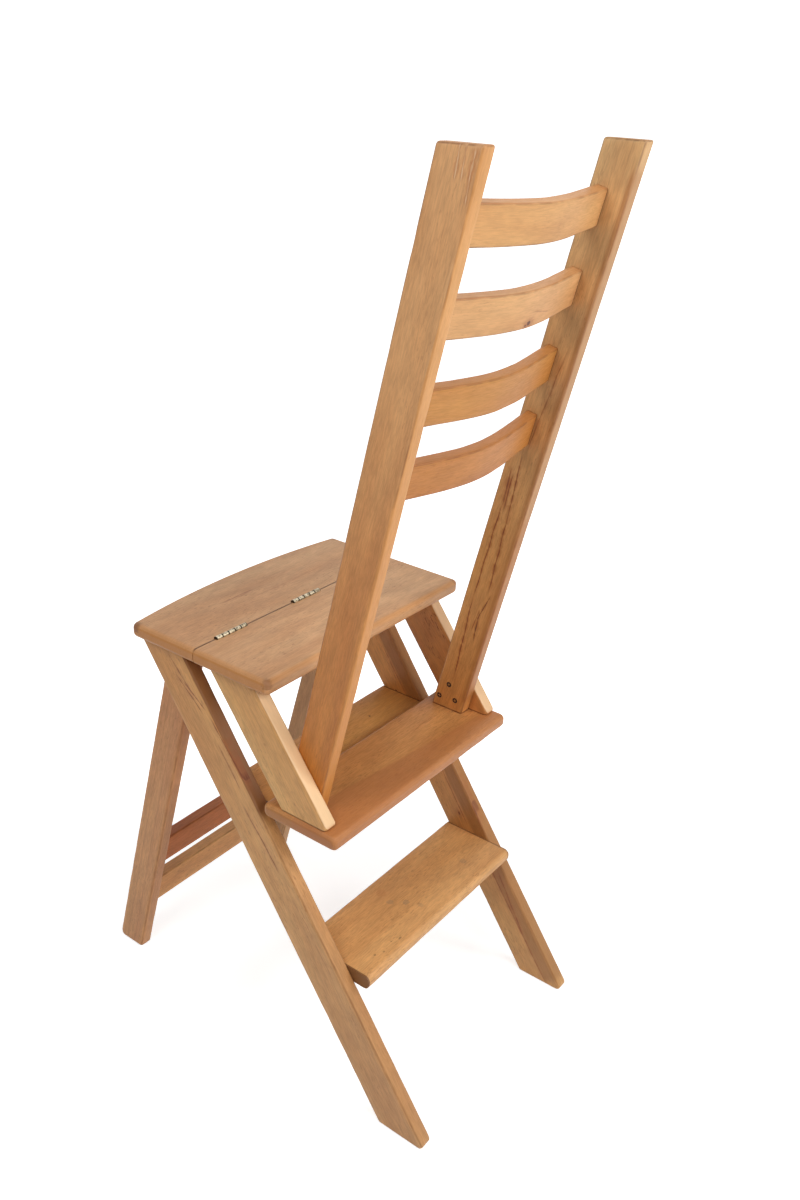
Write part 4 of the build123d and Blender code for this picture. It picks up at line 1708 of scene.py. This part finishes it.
        # Painted light and tone: the near side piece painted brighter, the far one darker and more orange in
        # its shade.
        near = BeechFinish(
            SIDE_TONE, Sawn.RIFT, 61.2, 0.007, 0.010,
            top_tone_and_light=(1.12, 1.08, 0.86), foot_tone_and_light=(1.17, 1.16, 0.97),
        )
        far = BeechFinish(
            SIDE_TONE, Sawn.FLAT, 64.4, 0.008, 0.010, 0.12, 0.12, 0.95, top_tone_and_light=(0.95, 0.72, 0.47)
        )
        boards = []
        for name, side, finish in (("left", 1, near), ("right", -1, far)):
            x = side * LEG_OUTSIDE
            top, foot = (x, 0.0132, 0.5751), (x, 0.1295, 0.4251)
            # Painted light on the rear narrow face, which faces the lamps.
            pale = [Mark(MarkKind.BAND, top, 0.0012, foot, 0.75, paint=PAINTED_LIGHT_EDGE)]
            boards.append(Board(f"side_piece_{name}", replace(self.side_piece, side=side), finish, pale))
        return boards

    def slat(self, top: float) -> SlatShape:
        """The shape of one slat.

        Args:
            top: Height of its upper edge.

        Returns:
            The shape.
        """
        stile = self.stile
        lean = math.atan2(stile.top_y - stile.foot_y, stile.top_z - stile.foot_z)
        shape = SlatShape(Vector((0, HINGE.y + stile.foot_y, stile.foot_z)), lean)
        reach = shape.setback + shape.thickness
        along_top = (top - stile.foot_z + reach * math.sin(lean)) / math.cos(lean)
        return replace(shape, up_stile=along_top - shape.height)

    def slats(self) -> list[Board]:
        """The four slats, the lowest first, the third with a knot."""
        knot = [
            Mark(MarkKind.KNOT, (-0.0158, 0.2217, 1.0182), 0.0034, strength=0.95, face=1, stretch=1.5),
            Mark(MarkKind.KNOT, (-0.0090, 0.2215, 1.0160), 0.0020, strength=0.85, face=1),
            Mark(
                MarkKind.STREAK, (-0.0600, 0.2180, 1.0250), 0.0007, (-0.0300, 0.2235, 1.0290), 0.45, 1, 0.002
            ),
        ]
        boards = []
        for number, (top, tone_and_light) in enumerate(zip(self.slat_tops, self.slat_tones_and_light), start=1):
            shape = self.slat(top)
            finish = BeechFinish(
                SLAT_TONE, Sawn.RIFT, self.slat_seed + self.seed_step * number, 0.008, 0.012,
                0.06, 0.09, 0.24, 0.05, 0.6, 0.005, butt=0.6, top_tone_and_light=tone_and_light,
            )
            arris = shape.space().origin + shape.upward * (shape.height / 2 + self.past_arris)
            ends = [tuple(arris + Vector((x, 0, 0))) for x in (-shape.half_span, shape.half_span)]
            marks = [Mark(MarkKind.BAND, ends[0], 0.001, ends[1], 0.45, paint=SLAT_EDGE)]
            boards.append(Board(f"slat_{number}", shape, finish, marks + (knot if number == 3 else [])))
        return boards


@dataclass
class Hardware:
    """Hinges, screws and dowels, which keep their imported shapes."""

    hinge: MetalFinish = MetalFinish(shade(222, 210, 180), shade(84, 70, 46), 0.92, 0.85, 0.34)
    plated: MetalFinish = MetalFinish(shade(196, 194, 188), shade(120, 110, 96), 0.5, 1.0, 0.36)
    black: MetalFinish = MetalFinish(shade(34, 31, 30), shade(64, 54, 46), 0.5, 0.6, 0.42)
    dowel: BeechFinish = BeechFinish(SEAT_TONE, Sawn.QUARTER, 90.0, 0.003, 0.004)
    hinge_places: tuple[tuple[str, float], ...] = (("left", 0.134), ("middle", -0.010), ("right", -0.150))

    def build(self, shop: Workshop) -> None:
        """Dress every fastener.

        Args:
            shop: The shared node groups.
        """
        plated = self.plated.material("zinc_screw", shop)
        black = self.black.material("black_screw", shop)
        for place, middle in self.hinge_places:
            hinge = self.hinge.material(f"worn_hinge_{place}", shop, middle - KNUCKLE_PITCH * KNUCKLES / 2)
            for part in ("front_leaf", "rear_leaf", "pin"):
                dress(f"hinge_{place}_{part}", hinge)
        for node in ("lap_screws", "rail_screws", "front_leaf_screws", "rear_leaf_screws"):
            dress(node, plated)
        dress("stile_screws", black)
        across = (Vector((0, 0, 1)), Vector((0, 1, 0)), Vector((1, 0, 0)))
        space = BoardSpace(Vector((0, 0, 0)), *across, half_thickness=1.0, half_width=1.0, half_length=1.0)
        dowel = self.dowel.material("beech_dowel", space, [], shop)
        for node in ("tread_dowels", "cross_dowels", "leg_top_dowels", "side_piece_dowels", "slat_dowels"):
            dress(node, dowel)


@dataclass(frozen=True)
class Softbox:
    """One square lamp, which faces the chair's seat: its place, its side and its power in watts."""

    name: str
    at: Place
    size: float
    power: float
    towards: Place = (0.0, 0.0, SEAT_TOP)

    def hang(self) -> None:
        """Add the lamp."""
        data = bpy.data.lights.new(self.name, "AREA")
        data.shape = "SQUARE"
        data.size = self.size
        data.energy = self.power
        lamp = add_object(self.name, data)
        lamp.location = self.at
        lamp.rotation_euler = (Vector(self.towards) - Vector(self.at)).to_track_quat("-Z", "Y").to_euler()


@dataclass
class Studio:
    """A plain white sweep, soft lamps and the camera."""

    lens: float = 33.287
    sensor: float = 36.0
    camera_at: Place = (1.0307, 0.8209, 1.2522)
    azimuth: float = 125.508
    elevation: float = 25.384
    roll: float = 3.060
    world_light: float = 0.15
    sweep_near: float = -3.5
    sweep_far: float = 3.2
    sweep_curve: float = 1.2
    sweep_top: float = 5.0
    sweep_half_width: float = 6.0
    curve_steps: int = 12
    lamps: tuple[Softbox, ...] = (
        Softbox("rear_softbox", (0.5, 2.2, 1.9), 1.2, 25.0),
        Softbox("rear_far_softbox", (-0.8, 2.4, 2.4), 1.2, 36.0),
        Softbox("near_side_softbox", (1.5, 0.2, 2.2), 1.0, 20.0),
        Softbox("front_softbox", (-0.2, -2.6, 2.2), 1.4, 6.0),
    )

    def build(self) -> None:
        """Set the stage."""
        self.camera()
        self.sweep()
        self.sky()
        for lamp in self.lamps:
            lamp.hang()
        bpy.context.scene.view_settings.view_transform = "Standard"

    def camera(self) -> None:
        """Place the camera at the photograph's viewing angle."""
        turn, tilt, roll = (math.radians(value) for value in (self.azimuth, self.elevation, self.roll))
        back = Vector((math.sin(turn) * math.cos(tilt), -math.cos(turn) * math.cos(tilt), math.sin(tilt)))
        right = Vector((0, 0, 1)).cross(back).normalized()
        up = back.cross(right)
        rolled_right = right * math.cos(roll) + up * math.sin(roll)
        rolled_up = up * math.cos(roll) - right * math.sin(roll)
        data = bpy.data.cameras.new("photo_camera")
        data.sensor_fit = "VERTICAL"
        data.sensor_height = self.sensor
        data.lens = self.lens
        camera = add_object("photo_camera", data)
        axes = Matrix((rolled_right, rolled_up, back)).transposed().to_4x4()
        camera.matrix_world = Matrix.Translation(Vector(self.camera_at)) @ axes
        bpy.context.scene.camera = camera
        log.info("camera at %s", self.camera_at)

    def shows_white(self, bench: Bench) -> Socket:
        """1 for rays that show the background: the camera's, mirrored and see-through ones.

        Args:
            bench: The bench of the material or world.

        Returns:
            The value.
        """
        path = bench.node("ShaderNodeLightPath").outputs
        seen = bench.math("MAXIMUM", path["Is Camera Ray"], path["Is Glossy Ray"])
        return bench.math("MAXIMUM", seen, path["Is Transmission Ray"])

    def sky(self) -> None:
        """Even soft light, seen as white."""
        world = bpy.data.worlds.new("white_room")
        bpy.context.scene.world = world
        bench = fresh_bench(world)
        strength = bench.ramp(self.shows_white(bench), 0.0, 1.0, self.world_light, 1.0)
        light = bench.node("ShaderNodeBackground", {"Color": (1.0, 1.0, 1.0), "Strength": strength})
        bench.node("ShaderNodeOutputWorld", {"Surface": light.outputs[0]})

    def sweep(self) -> None:
        """The floor, which curves up into a wall far behind the chair."""
        far, curve = self.sweep_far, self.sweep_curve
        profile = [(self.sweep_near, 0.0), (far, 0.0)]
        for step in range(1, self.curve_steps + 1):
            angle = step * math.pi / 2 / self.curve_steps
            profile.append((far + curve * math.sin(angle), curve * (1 - math.cos(angle))))
        profile.append((far + curve, self.sweep_top))
        turn = math.radians(self.azimuth)
        away = Vector((-math.sin(turn), math.cos(turn), 0))
        aside = Vector((away.y, -away.x, 0))
        made = bmesh.new()
        sides = (-self.sweep_half_width, self.sweep_half_width)
        rows = [
            [made.verts.new(away * distance + aside * side + Vector((0, 0, z))) for side in sides]
            for distance, z in profile
        ]
        for first, second in zip(rows, rows[1:]):
            made.faces.new((first[0], first[1], second[1], second[0]))
        sweep = mesh_object("paper_sweep", made)
        sweep.data.materials.append(self.paper())

    def paper(self) -> bpy.types.Material:
        """White paper that keeps a soft shadow."""
        made = bpy.data.materials.new("white_paper")
        bench = fresh_bench(made)
        point = bench.point()
        grain = bench.ramp(bench.noise(point, (40.0, 40.0, 40.0)), 0.3, 0.7)
        glow = bench.ramp(bench.vector("LENGTH", point), 0.25, 0.75, 0.62, 1.0)
        bench.surface({
            "Base Color": bench.mix(grain, (0.80, 0.80, 0.80), (0.82, 0.82, 0.82)), "Roughness": 0.9,
            "Specular IOR Level": 0.1, "Emission Color": (1.0, 1.0, 1.0),
            "Emission Strength": bench.times(self.shows_white(bench), glow),
        })
        return made


def main() -> None:
    """Build every sub-assembly in order."""
    logging.basicConfig(level=logging.INFO, format="%(message)s")
    shop = Workshop()
    Studio().build()
    Seat().build(shop)
    StandingFrame().build(shop)
    TurningBack().build(shop)
    Hardware().build(shop)


if __name__ == "__main__":
    main()
